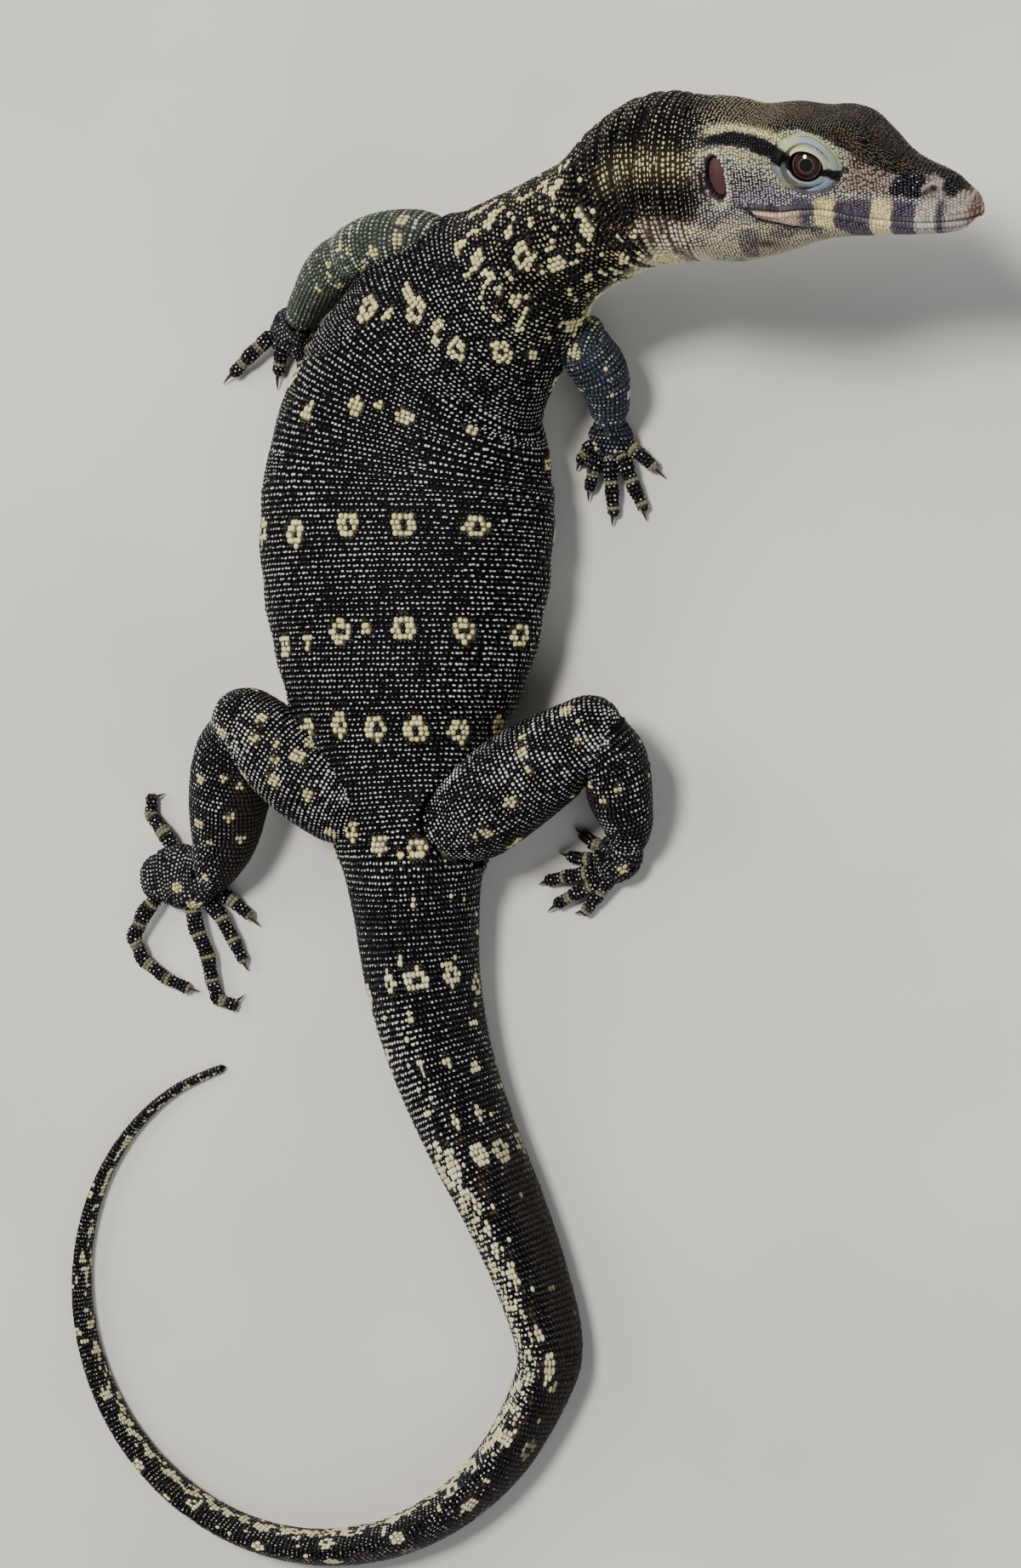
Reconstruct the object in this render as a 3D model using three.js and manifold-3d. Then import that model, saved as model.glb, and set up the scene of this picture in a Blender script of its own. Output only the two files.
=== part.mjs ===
import * as THREE from "three";
import { mergeVertices } from "three/addons/utils/BufferGeometryUtils.js";
import Module from "manifold-3d";

// A young Asian water monitor lizard, life size, lying on the floor with its neck bent to its right and its
// head raised and rolled on its side. Millimetres, +Z up. The origin is on the floor under the middle of the
// trunk, +Y runs along the trunk to the shoulders and +X is the animal's right.

const wasm = await Module();
wasm.setup();

// Driving dimensions
const GAP = 0.3; // between two nodes that meet
const FLAT = 0.6; // how much of a round underside the floor takes off
const HEAD_LENGTH = 52; // snout tip to the back of the jaw
const EYEBALL = 4.1; // radius
const LID_THICKNESS = 0.9; // of the lids over the eyeball
const SLIT = { depth: 0.9, height: 0.4, narrow: 0.12, last: 40, reach: 2 }; // line of the mouth, as a cut

// Eye, nostril and ear on the head: distance back from the snout tip, sideways and height, then the half
// length, half depth and half height of the opening and its lean in degrees
const EYE_PLACE = { back: 28.7, side: 6.2, high: 12.3 };
const EYE_OPENING = { long: 3.15, tall: 2.7, from: 3.0, to: 7.5, sides: 12 };
const NOSTRIL = { back: 7.6, side: 5.2, high: 5.9, halves: [1.25, 1.5, 0.6], lean: -18 };
const EAR = { back: 44.8, side: 12.3, high: 11.7, halves: [1.6, 2.0, 3.8], lean: 8 };

// Facets: sides of a section and rings along a length
const HEAD_FACETS = { sides: 26, rings: 21 };
const BALL_SIDES = { eye: 12, ear: 10, nostril: 8 };
const LIMB_FACETS = { sides: 12, upper: 7, lower: 6 };
const FOOT_FACETS = { palmSides: 10, palmRings: 4, toeSides: 6, clawSides: 4, clawRings: 3 };
// Curl of the tail: centre, first and last radius, the angle it starts at and the angle it turns through
const TAIL_BEND = { x: -34.8, y: -151.5, first: 61.4, last: 45.8, turns: 14, start: -17, sweep: 232 };

// Head pose: the snout tip at the line of the mouth, and the head's heading, pitch and roll in degrees
const SNOUT_TIP = new THREE.Vector3(123, 53, 46);
const HEAD_HEADING = -3.5;
const HEAD_PITCH = 2.3;
const HEAD_ROLL = 60;

// Head outline, from the snout tip back: distance from the tip, height of the top, height of the underside,
// half width, height of the widest level, all from the line of the mouth at the tip
const HEAD = [
  [0.0, 1.6, -0.8, 1.7, 0.3],
  [0.9, 3.7, -1.4, 3.1, 0.5],
  [2.4, 5.1, -2.3, 4.1, 0.6],
  [4.2, 7.0, -3.0, 4.7, 0.7],
  [6.4, 8.3, -3.3, 5.2, 0.7],
  [9.2, 9.5, -3.4, 5.6, 0.8],
  [12.4, 11.4, -3.3, 6.1, 0.9],
  [15.8, 15.0, -3.1, 6.9, 1.2],
  [19.4, 18.2, -3.0, 7.9, 1.6],
  [23.5, 19.3, -3.0, 8.9, 2.2],
  [28.0, 19.3, -3.5, 9.8, 2.8],
  [33.5, 20.0, -5.2, 10.7, 3.4],
  [40.0, 19.7, -6.8, 11.8, 4.2],
  [46.5, 21.9, -7.7, 12.3, 5.3],
  [52.0, 22.8, -7.4, 12.2, 6.6],
];

// Line of the mouth: distance from the snout tip, height
const MOUTH = [
  [0, 0.1],
  [6, 0.1],
  [10.5, 0.3],
  [14.5, 1.0],
  [18, 1.9],
  [22.5, 3.1],
  [26.5, 4.4],
  [31, 4.6],
  [34, 4.6],
  [37, 5.2],
  [41, 5.9],
];

// Axis of the neck and trunk, from the head back: x, y, z, half width, height above the axis, depth below
// it, and roll in degrees
const NECK = [
  [63.4, 63.6, 44.8, 12.0, 16.0, 15.6, 58],
  [55.0, 63.2, 40.4, 11.8, 13.7, 15.4, 52],
  [45.6, 60.6, 35.0, 11.8, 11.2, 14.4, 42],
  [35.4, 56.8, 29.4, 13.2, 11.8, 13.2, 29],
  [24.4, 51.2, 23.8, 17.0, 13.2, 14.0, 16],
  [13.6, 43.6, 19.0, 21.6, 14.4, 15.4, 5],
];
const TRUNK = [
  [5.0, 35.0, 15.8, 25.8, 15.6, 15.8, 0],
  [0.0, 25.4, 13.9, 29.2, 16.4, 14.5, 0],
  [-2.8, 15.0, 13.0, 31.2, 17.0, 13.6, 0],
  [-3.6, 4.0, 13.0, 31.8, 17.3, 13.6, 0],
  [-3.8, -7.0, 13.0, 31.0, 17.0, 13.6, 0],
  [-3.9, -18.0, 13.0, 29.0, 16.5, 13.6, 0],
  [-4.0, -29.0, 12.9, 25.6, 15.5, 13.5, 0],
  [-3.9, -40.0, 12.6, 19.6, 14.3, 13.2, 0],
  [-3.5, -51.0, 12.2, 15.6, 13.3, 12.8, 0],
  [-2.8, -62.0, 11.9, 15.0, 12.8, 12.5, 0],
];
// Where the tail runs before its curl: x, y
const TAIL_WAY = [
  [-2.4, -73.5],
  [-1.2, -88.0],
  [2.4, -103.5],
  [8.2, -118.5],
  [15.0, -132.5],
  [21.0, -146.5],
  [25.2, -160.5],
];

// Limbs: each length from its root out, as x, y, z, radius. The upper length ends in a round elbow or knee
// and the lower one starts inside it.
const ARMS = {
  left: {
    upper: [
      [16, 50, 20, 8.5],
      [6, 58, 20, 7.6],
      [-3, 60.2, 19.8, 7.0],
      [-12.4, 59.4, 18.2, 6.4],
    ],
    lower: [
      [-12.4, 59.4, 18.2, 6.3],
      [-20.2, 56.2, 14, 5.7],
      [-26.6, 52.4, 9, 4.5],
      [-31.2, 49, 5.6, 3.6],
    ],
  },
  right: {
    upper: [
      [16, 36, 16, 8.5],
      [25.6, 39.8, 16.8, 7.6],
      [30.6, 40.6, 17.2, 6.8],
      [35.6, 38.8, 16.6, 6.2],
    ],
    lower: [
      [36.6, 37.4, 16.0, 6.1],
      [38.6, 32.8, 12.2, 5.5],
      [38.6, 28.4, 8.4, 4.4],
      [37.8, 24.6, 5.4, 3.6],
    ],
  },
};
const LEGS = {
  left: {
    upper: [
      [-6, -55, 13, 10.8],
      [-14.6, -51.0, 13.8, 11.2],
      [-23.0, -46.4, 15.6, 10.8],
      [-31.0, -41.0, 16.8, 9.6],
      [-37.6, -36.8, 17.0, 8.4],
    ],
    lower: [
      [-38.2, -38.0, 16.6, 8.4],
      [-41.8, -43.8, 14.8, 8.6],
      [-44.4, -52.0, 12.2, 8.4],
      [-47.2, -60.8, 9.2, 6.8],
      [-51.6, -68.2, 6.2, 4.2],
    ],
  },
  right: {
    upper: [
      [2, -57, 13, 10.8],
      [11.0, -53.4, 13.8, 11.0],
      [19.4, -49.2, 15.6, 10.4],
      [29.0, -43.6, 17.0, 9.4],
      [37.9, -38.8, 17.4, 8.0],
    ],
    lower: [
      [38.9, -39.6, 16.8, 7.7],
      [41.7, -44.4, 14.8, 7.3],
      [42.4, -50.8, 11.8, 6.5],
      [42.6, -56.0, 8.4, 5.2],
      [41.6, -60.4, 5.8, 4.0],
    ],
  },
};

// Feet: the palm as x, y, z, half width, half thickness from the ankle out, and each toe as x, y, z places
// from its root to its end, with the tip of its claw last
const FEET = {
  fore_left: {
    toeRadius: 1.75,
    palm: [
      [-31.4, 49.2, 5.2, 3.6, 3.2],
      [-34.0, 47.4, 3.6, 4.8, 2.9],
      [-36.0, 45.8, 2.8, 4.2, 2.3],
    ],
    toes: [
      [[-35.4, 47.4, 2.8], [-40.0, 45.4, 3.2], [-44.2, 42.4, 2.9], [-48.2, 39.4, 1.8], [-51.9, 36.9, 0.4]],
      [[-35.2, 46.0, 2.8], [-36.7, 42.6, 3.1], [-38.0, 39.2, 1.7], [-38.9, 35.0, 0.4]],
      [[-33.4, 45.6, 2.8], [-32.6, 42.6, 3.1], [-32.2, 39.4, 1.6], [-31.6, 36.4, 0.4]],
      [[-32.4, 46.4, 2.8], [-29.8, 43.6, 2.9], [-27.8, 40.4, 1.6], [-26.4, 37.4, 0.4]],
      [[-31.8, 47.6, 2.6], [-28.6, 46.4, 2.6], [-25.8, 45.4, 1.5], [-23.2, 43.8, 0.4]],
    ],
  },
  fore_right: {
    toeRadius: 1.65,
    palm: [
      [37.8, 24.8, 5.2, 3.6, 3.2],
      [37.4, 21.8, 3.6, 4.8, 2.9],
      [37.0, 19.4, 2.8, 4.2, 2.3],
    ],
    toes: [
      [[39.0, 20.8, 2.8], [42.6, 18.4, 3.2], [45.6, 15.6, 1.7], [48.2, 12.8, 0.4]],
      [[38.2, 19.8, 2.8], [40.4, 15.6, 3.2], [42.0, 11.0, 2.4], [43.4, 7.6, 1.6], [44.0, 4.4, 0.4]],
      [[37.0, 19.4, 2.8], [37.2, 14.8, 3.2], [37.2, 10.0, 2.4], [37.2, 6.8, 1.6], [36.6, 3.6, 0.4]],
      [[35.8, 19.8, 2.8], [33.8, 15.8, 3.1], [32.2, 12.0, 1.7], [31.4, 8.8, 0.4]],
      [[35.4, 21.2, 2.8], [32.4, 19.4, 3.0], [30.4, 17.4, 1.6], [28.8, 15.2, 0.4]],
    ],
  },
  hind_left: {
    toeRadius: 1.7,
    palm: [
      [-51.8, -68.0, 5.8, 4.2, 3.8],
      [-56.4, -68.6, 4.4, 6.4, 3.6],
      [-61.6, -68.0, 3.5, 7.0, 3.1],
      [-65.6, -68.6, 2.9, 5.4, 2.5],
    ],
    toes: [
      [
        [-61.6, -63.6, 3.0],
        [-64.6, -59.0, 3.2],
        [-68.4, -55.0, 1.9],
        [-68.6, -51.6, 1.5],
        [-65.6, -50.4, 0.4],
      ],
      [
        [-64.8, -70.6, 3.0],
        [-69.6, -76.4, 3.1],
        [-72.3, -81.4, 2.6],
        [-70.2, -86.2, 2.3],
        [-65.0, -90.0, 2.0],
        [-60.4, -92.0, 1.5],
        [-57.4, -92.8, 0.4],
      ],
      [
        [-58.6, -72.0, 3.0],
        [-56.9, -79.2, 3.0],
        [-54.6, -85.0, 2.5],
        [-53.7, -90.4, 2.0],
        [-52.6, -94.2, 1.6],
        [-49.2, -95.4, 1.2],
        [-46.4, -93.2, 0.4],
      ],
      [
        [-56.4, -71.4, 3.0],
        [-51.4, -76.2, 3.0],
        [-48.4, -81.8, 2.2],
        [-46.8, -85.4, 1.5],
        [-45.6, -88.4, 0.4],
      ],
      [[-54.4, -70.2, 3.0], [-49.0, -72.8, 3.0], [-45.4, -76.0, 1.6], [-42.8, -78.8, 0.4]],
    ],
  },
  hind_right: {
    toeRadius: 1.6,
    palm: [
      [41.8, -60.0, 5.6, 4.0, 3.6],
      [39.6, -62.6, 4.2, 5.0, 3.3],
      [37.4, -64.2, 3.2, 4.6, 2.7],
    ],
    toes: [
      [[39.0, -63.8, 2.9], [37.3, -67.2, 3.1], [34.0, -71.0, 2.4], [31.4, -74.0, 1.6], [28.2, -74.8, 0.4]],
      [[37.6, -65.4, 2.9], [34.0, -68.4, 3.0], [29.4, -70.6, 2.4], [25.4, -72.6, 1.6], [22.4, -74.6, 0.4]],
      [[36.8, -64.8, 2.9], [32.4, -66.4, 3.0], [27.4, -67.2, 2.3], [23.4, -68.0, 1.5], [20.4, -69.0, 0.4]],
      [[36.6, -63.4, 2.9], [32.0, -63.6, 3.0], [28.2, -63.2, 1.6], [25.0, -62.4, 0.4]],
      [[37.2, -62.0, 2.7], [33.6, -60.6, 2.7], [30.8, -58.8, 1.5], [28.4, -57.0, 0.4]],
    ],
  },
};

// Materials: blackish scales, paler limbs, and the eyes
const skin = (colour) => new THREE.MeshStandardMaterial({ color: colour, roughness: 0.55, metalness: 0 });
const SKINS = { head: 0x4a4640, neck: 0x3a382f, trunk: 0x26242a, tail: 0x2b2a28, limb: 0x2e312e };
const EYE = new THREE.MeshStandardMaterial({ color: 0x2a120c, roughness: 0.08, metalness: 0 });

// Small mathematics

const radians = THREE.MathUtils.degToRad;
const smooth = THREE.MathUtils.smoothstep;
const vector = (place) => new THREE.Vector3(place[0], place[1], place[2]);
const bell = (x, width) => Math.exp(-((x / width) ** 2));

// Catmull-Rom value through rows at a row number, column by column
function rowAt(rows, t) {
  const i = Math.min(Math.max(Math.floor(t), 0), rows.length - 2);
  const u = t - i;
  const pick = (k) => rows[Math.min(Math.max(k, 0), rows.length - 1)];
  const [a, b, c, d] = [pick(i - 1), pick(i), pick(i + 1), pick(i + 2)];
  return b.map((_, k) => {
    const cubic = 3 * (b[k] - c[k]) + d[k] - a[k];
    const square = 2 * a[k] - 5 * b[k] + 4 * c[k] - d[k];
    return b[k] + 0.5 * u * (c[k] - a[k] + u * (square + u * cubic));
  });
}

// Row of a table whose first column rises, at a value of that column
function rowFor(rows, x) {
  let i = 0;
  while (i < rows.length - 2 && rows[i + 1][0] < x) i += 1;
  return rowAt(rows, i + (x - rows[i][0]) / (rows[i + 1][0] - rows[i][0]));
}

// Mesh code

// Closed geometry through rings of equal length, with a fan over each end
function loft(rings) {
  const sides = rings[0].length;
  const middle = (ring) => ring.reduce((sum, p) => sum.add(p), new THREE.Vector3()).divideScalar(sides);
  const points = [...rings.flat(), middle(rings[0]), middle(rings.at(-1))];
  const faces = [];
  for (let r = 0; r < rings.length - 1; r += 1)
    for (let k = 0; k < sides; k += 1) {
      const [a, b] = [r * sides + k, r * sides + ((k + 1) % sides)];
      faces.push(a, b, b + sides, a, b + sides, a + sides);
    }
  const last = (rings.length - 1) * sides;
  for (let k = 0; k < sides; k += 1) {
    const next = (k + 1) % sides;
    faces.push(points.length - 2, next, k, points.length - 1, last + k, last + next);
  }
  const geometry = new THREE.BufferGeometry();
  const places = points.flatMap((p) => p.toArray());
  geometry.setAttribute("position", new THREE.Float32BufferAttribute(places, 3));
  geometry.setIndex(faces);
  return geometry;
}

// Solid of a closed geometry, turned the right way round
function solid(geometry) {
  geometry.deleteAttribute("normal");
  geometry.deleteAttribute("uv");
  const merged = mergeVertices(geometry, 1e-4);
  const vertProperties = merged.attributes.position.array;
  const triVerts = new Uint32Array(merged.index.array);
  const make = () => new wasm.Manifold(new wasm.Mesh({ numProp: 3, vertProperties, triVerts }));
  const made = make();
  if (made.volume() > 0) return made;
  for (let i = 0; i < triVerts.length; i += 3) triVerts.subarray(i, i + 3).reverse();
  return make();
}

const join = (solids) => solids.reduce((whole, next) => whole.add(next));
const cut = (whole, tools) => tools.reduce((left, tool) => left.subtract(tool), whole);

// Geometry of the largest closed surface of a solid
function geometryOf(whole) {
  const [body] = whole.decompose().sort((a, b) => b.volume() - a.volume());
  const mesh = body.getMesh();
  const geometry = new THREE.BufferGeometry();
  geometry.setAttribute("position", new THREE.BufferAttribute(mesh.vertProperties, 3));
  geometry.setIndex(new THREE.BufferAttribute(mesh.triVerts, 1));
  return geometry;
}

// One point of a rounded section. The angle starts at the top and turns to the right side.
function sectionPoint(angle, section) {
  const { centre, right, up, width, above, below, topPower, lowPower } = section;
  const [s, c] = [Math.sin(angle), Math.cos(angle)];
  const power = 2 / (c > 0 ? topPower : lowPower);
  const sideways = width * Math.sign(s) * Math.abs(s) ** power;
  const high = (c > 0 ? above : -below) * Math.abs(c) ** power;
  return centre.clone().addScaledVector(right, sideways).addScaledVector(up, high);
}

// Ring of a section, kept above the floor
function ringOf(section, sides, floor = 0) {
  return Array.from({ length: sides }, (_, k) => {
    const p = sectionPoint((k * 2 * Math.PI) / sides, section);
    p.z = Math.max(p.z, floor);
    return p;
  });
}

// Head

const headTurn = new THREE.Matrix4()
  .makeRotationZ(radians(HEAD_HEADING))
  .multiply(new THREE.Matrix4().makeRotationY(-radians(HEAD_PITCH)))
  .multiply(new THREE.Matrix4().makeRotationX(-radians(HEAD_ROLL)));
const NOSE = new THREE.Vector3(1, 0, 0).transformDirection(headTurn);
const HEAD_RIGHT = new THREE.Vector3(0, -1, 0).transformDirection(headTurn);
const HEAD_UP = new THREE.Vector3(0, 0, 1).transformDirection(headTurn);

// World place of a head point: distance back from the snout tip, sideways to the right, height
function onHead(back, side, high) {
  const place = SNOUT_TIP.clone().addScaledVector(NOSE, -back);
  return place.addScaledVector(HEAD_RIGHT, side).addScaledVector(HEAD_UP, high);
}

function headSection(back, inflate = 0) {
  const [, top, low, width, level] = rowFor(HEAD, back);
  return {
    centre: onHead(back, 0, level),
    right: HEAD_RIGHT,
    up: HEAD_UP,
    width: width + inflate,
    above: top - level + inflate,
    below: level - low + inflate,
    topPower: 2.3 + 2 * smooth(back, 5, 18) - 2.2 * smooth(back, 36, HEAD_LENGTH),
    lowPower: 2.7 - 0.4 * smooth(back, 40, HEAD_LENGTH),
  };
}

const mouthHeight = (back) => rowFor(MOUTH, back)[1];

// How far the skin stands off the plain section: brow ridge, hollow cheek, lips and jaw muscle
function headRelief(back, side, high) {
  const wide = Math.abs(side);
  const brow = 1.2 * bell(back - 23.5, 5) * bell(high - 15.5, 3) * bell(wide - 8, 3);
  const hollow = -1.2 * bell(back - 19, 6) * bell(high - 8.6, 3) * bell(wide - 7.5, 4);
  const lips = 0.5 * bell(Math.abs(high - mouthHeight(back)) - 1.3, 0.9) * bell(back - 20, 20);
  const nostril = 0.5 * bell(back - NOSTRIL.back, 2.6) * bell(high - NOSTRIL.high, 1.8);
  const jaw = 0.9 * bell(back - 41, 6) * bell(high - 1, 5) * bell(wide - 11, 4);
  return brow + hollow + lips + nostril + jaw;
}

function headRing(back, sides) {
  const section = headSection(back);
  return ringOf(section, sides).map((p) => {
    const from = p.clone().sub(section.centre);
    const side = from.dot(HEAD_RIGHT);
    const high = from.dot(HEAD_UP) + rowFor(HEAD, back)[4];
    return p.addScaledVector(from.normalize(), headRelief(back, side, high));
  });
}

// Distances back along the head, closer together at the snout
const headSteps = (from, to, count) =>
  Array.from({ length: count + 1 }, (_, i) => from + (to - from) * (i / count) ** 1.4);

// Narrow wedge round the snout at the line of the mouth, as a cutter. It grows shallow towards its ends.
function mouthSlit() {
  const { depth, height, narrow, last, reach } = SLIT;
  const backs = headSteps(0.2, last, 12);
  const way = [...backs.slice().reverse().map((b) => [b, -1]), ...backs.map((b) => [b, 1])];
  const rings = way.map(([back, sign]) => {
    const width = rowFor(HEAD, back)[3];
    const inner = -depth * (1 - 0.75 * smooth(back, 0.7 * last, last));
    const lean = back < 3 ? 1 : 0;
    const place = (out, high) => onHead(back - out * lean, sign * (width + out), mouthHeight(back) + high);
    return [place(reach, -height), place(inner, -narrow), place(inner, narrow), place(reach, height)];
  });
  return solid(loft(rings));
}

// Ellipsoid set in the head's own directions: half lengths back, sideways and high, and a lean
function headBall(place, sign, halves, segments, lean = 0) {
  const geometry = new THREE.SphereGeometry(1, segments, Math.round(segments * 0.7));
  geometry.scale(halves[0], halves[1], halves[2]);
  geometry.rotateY(radians(lean));
  const basis = new THREE.Matrix4().makeBasis(NOSE.clone().negate(), HEAD_RIGHT, HEAD_UP);
  basis.setPosition(onHead(place.back, sign * place.side, place.high));
  return solid(geometry.applyMatrix4(basis));
}

// Opening between the lids: an oval that widens from the eyeball outwards
function eyeOpening(sign) {
  const { long, tall, from, to, sides } = EYE_OPENING;
  const rings = [from, to].map((out) =>
    Array.from({ length: sides }, (_, k) => {
      const angle = (k * 2 * Math.PI) / sides;
      const spread = 0.75 + 0.09 * out;
      return onHead(
        EYE_PLACE.back + long * spread * Math.cos(angle),
        sign * (EYE_PLACE.side + out),
        EYE_PLACE.high + tall * spread * Math.sin(angle),
      );
    }),
  );
  return solid(loft(rings));
}

const eyeball = (sign, radius) => headBall(EYE_PLACE, sign, [radius, radius, radius], BALL_SIDES.eye);

// Head with its lids, hollowed for the eyeballs, the ears, the nostrils and the line of the mouth
function headSolid() {
  const { sides, rings } = HEAD_FACETS;
  const backs = headSteps(0, HEAD_LENGTH - GAP / 2, rings);
  const skull = solid(loft(backs.map((back) => headRing(back, sides))));
  const lids = [-1, 1].map((sign) => eyeball(sign, EYEBALL + LID_THICKNESS));
  const cups = [-1, 1].flatMap((sign) => [
    eyeball(sign, EYEBALL + GAP),
    eyeOpening(sign),
    headBall(EAR, sign, EAR.halves, BALL_SIDES.ear, EAR.lean),
    headBall(NOSTRIL, sign, NOSTRIL.halves, BALL_SIDES.nostril, NOSTRIL.lean),
  ]);
  return cut(join([skull, ...lids]), [...cups, mouthSlit()]);
}

// Body: one row for each place along the axis from the head to the tip of the tail

function tailRows() {
  const { x, y, first, last, turns, start, sweep } = TAIL_BEND;
  const curl = Array.from({ length: turns + 1 }, (_, i) => {
    const angle = radians(start - (i * sweep) / turns);
    const radius = first + ((last - first) * i) / turns;
    return [x + radius * Math.cos(angle), y + radius * Math.sin(angle)];
  });
  const way = [...TAIL_WAY, ...curl];
  return way.map(([px, py], i) => {
    const left = 1 - (i + 1) / way.length; // share of the tail still to come
    const width = 0.8 + 4.4 * left + 9.4 * left ** 3;
    const height = 1.7 + 22.2 * left + 0.8 * left ** 3;
    return [px, py, 0.48 * height - FLAT * Math.min(1, height / 8), width, 0.52 * height, 0.48 * height, 0];
  });
}

function headEndRow(back) {
  const { centre, width, above, below } = headSection(back);
  return [centre.x, centre.y, centre.z, width, above, below, HEAD_ROLL];
}

const TAIL = tailRows();
const BODY = [headEndRow(HEAD_LENGTH - 7), headEndRow(HEAD_LENGTH), ...NECK, ...TRUNK, ...TAIL];
const [HEAD_END, NECK_END] = [1, 1 + NECK.length];
const TRUNK_END = NECK_END + TRUNK.length;

function bodySection(t, inflate = 0, shift = 0) {
  const row = rowAt(BODY, t);
  const step = 0.02;
  const along = vector(rowAt(BODY, t - step)).sub(vector(rowAt(BODY, t + step))).normalize();
  const forward = NOSE.clone().lerp(along, smooth(t, HEAD_END, HEAD_END + 1.5)).normalize();
  const upright = new THREE.Vector3(0, 0, 1).addScaledVector(forward, -forward.z).normalize();
  const level = forward.clone().cross(upright);
  const roll = radians(row[6]);
  const up = upright.clone().multiplyScalar(Math.cos(roll)).addScaledVector(level, -Math.sin(roll));
  const keel = smooth(t, TRUNK_END - 2, TRUNK_END + 8);
  return {
    centre: vector(row).addScaledVector(forward, shift),
    right: forward.clone().cross(up),
    up,
    width: row[3] + inflate,
    above: row[4] + inflate,
    below: row[5] + inflate,
    topPower: 2.1 - 0.5 * keel,
    lowPower: 2.3,
  };
}

// Length of the body between two row numbers, each end drawn in by half the gap
function bodyLength(from, to, stepsPerRow, sides, inflate = 0) {
  const steps = Math.max(2, Math.round((to - from) * stepsPerRow));
  const rings = Array.from({ length: steps + 1 }, (_, i) => {
    const shift = i === 0 ? -GAP / 2 : i === steps ? GAP / 2 : 0;
    const section = bodySection(from + ((to - from) * i) / steps, inflate, inflate ? 0 : shift);
    return ringOf(section, sides, -inflate);
  });
  return solid(loft(rings));
}

// Limbs and feet

// Round or flattened tube through rows of x, y, z, half width, half thickness. A dome closes it where
// roundEnd is set.
function tube(rows, sides, steps, { inflate = 0, drawIn = 0, roundEnd = false } = {}) {
  const last = rows.length - 1;
  const ringAt = (t, shift, scale) => {
    const row = rowAt(rows, t);
    const along = vector(rowAt(rows, t + 0.02)).sub(vector(rowAt(rows, t - 0.02))).normalize();
    const right = along.clone().cross(new THREE.Vector3(0, 0, 1)).normalize();
    const high = (row[4] ?? row[3]) + inflate;
    const section = {
      centre: vector(row).addScaledVector(along, shift),
      right,
      up: right.clone().cross(along),
      width: (row[3] + inflate) * scale,
      above: high * scale,
      below: high * scale,
      topPower: 2.1,
      lowPower: 2.1,
    };
    return ringOf(section, sides, -inflate);
  };
  const rings = Array.from({ length: steps + 1 }, (_, i) =>
    ringAt((i * last) / steps, i === 0 ? drawIn : i === steps && !roundEnd ? -drawIn : 0, 1),
  );
  if (roundEnd) {
    const reach = rows[last][3] + inflate;
    [32, 64].forEach((angle) =>
      rings.push(ringAt(last, reach * Math.sin(radians(angle)), Math.cos(radians(angle)))),
    );
  }
  return solid(loft(rings));
}

// Toe with its claw: knuckles swell at each inner place, and the claw curves down to its tip
function toe(places, radius) {
  const claw = places.at(-1);
  const bones = places.slice(0, -1);
  const rows = bones.map((p, i) => {
    const thick = radius * (1.1 - (0.34 * i) / (bones.length - 1));
    return [p[0], p[1], p[2], thick, thick * 0.92];
  });
  const end = vector(bones.at(-1));
  const tip = vector(claw);
  const clawRows = [-0.5, 0, 0.4, 0.75, 1].map((share) => {
    const p = end.clone().lerp(tip, share);
    const size = 0.95 * (1 - Math.max(share, 0)) + 0.22;
    return [p.x, p.y, p.z + 1.6 * Math.max(share, 0) * (1 - share), size * 0.8, size];
  });
  const { toeSides, clawSides, clawRings } = FOOT_FACETS;
  const flesh = tube(rows, toeSides, bones.length + 1, { roundEnd: true });
  return join([flesh, tube(clawRows, clawSides, clawRings)]);
}

function footSolid({ palm, toes, toeRadius }) {
  const { palmSides, palmRings } = FOOT_FACETS;
  const sole = tube(palm, palmSides, palmRings, { roundEnd: true });
  return join([sole, ...toes.map((places) => toe(places, toeRadius))]);
}

// Scene graph

const lizard = new THREE.Group();
lizard.name = "water_monitor";

function add(name, geometry, material) {
  const mesh = new THREE.Mesh(geometry, material);
  mesh.name = name;
  lizard.add(mesh);
}

add("head", geometryOf(headSolid()), skin(SKINS.head));
add("eye_right", geometryOf(eyeball(1, EYEBALL)), EYE);
add("eye_left", geometryOf(eyeball(-1, EYEBALL)), EYE);

// Lengths of the body: name, first row, last row, rings for each row, sides, colour
const HIPS = NECK_END + 7.5;
const LENGTHS = [
  ["neck_front", HEAD_END, HEAD_END + 3, 2, 24, SKINS.neck],
  ["neck_rear", HEAD_END + 3, NECK_END, 2, 24, SKINS.neck],
  ["shoulders", NECK_END, NECK_END + 2, 3, 28, SKINS.trunk],
  ["trunk", NECK_END + 2, HIPS, 2, 28, SKINS.trunk],
  ["hips", HIPS, TRUNK_END, 3, 28, SKINS.trunk],
  ["tail_base", TRUNK_END, TRUNK_END + 6, 1.5, 18, SKINS.tail],
  ["tail_middle", TRUNK_END + 6, TRUNK_END + 11, 1.6, 14, SKINS.tail],
  ["tail_curl", TRUNK_END + 11, TRUNK_END + 17, 1.5, 12, SKINS.tail],
  ["tail_tip", TRUNK_END + 17, BODY.length - 1, 1.5, 8, SKINS.tail],
];
LENGTHS.forEach(([name, from, to, perRow, sides, colour]) =>
  add(name, geometryOf(bodyLength(from, to, perRow, sides)), skin(colour)),
);

// The body a little larger, to cut the roots of the limbs to its surface
const bodyTool = bodyLength(HEAD_END, TRUNK_END + 3, 2, 28, GAP);

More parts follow.
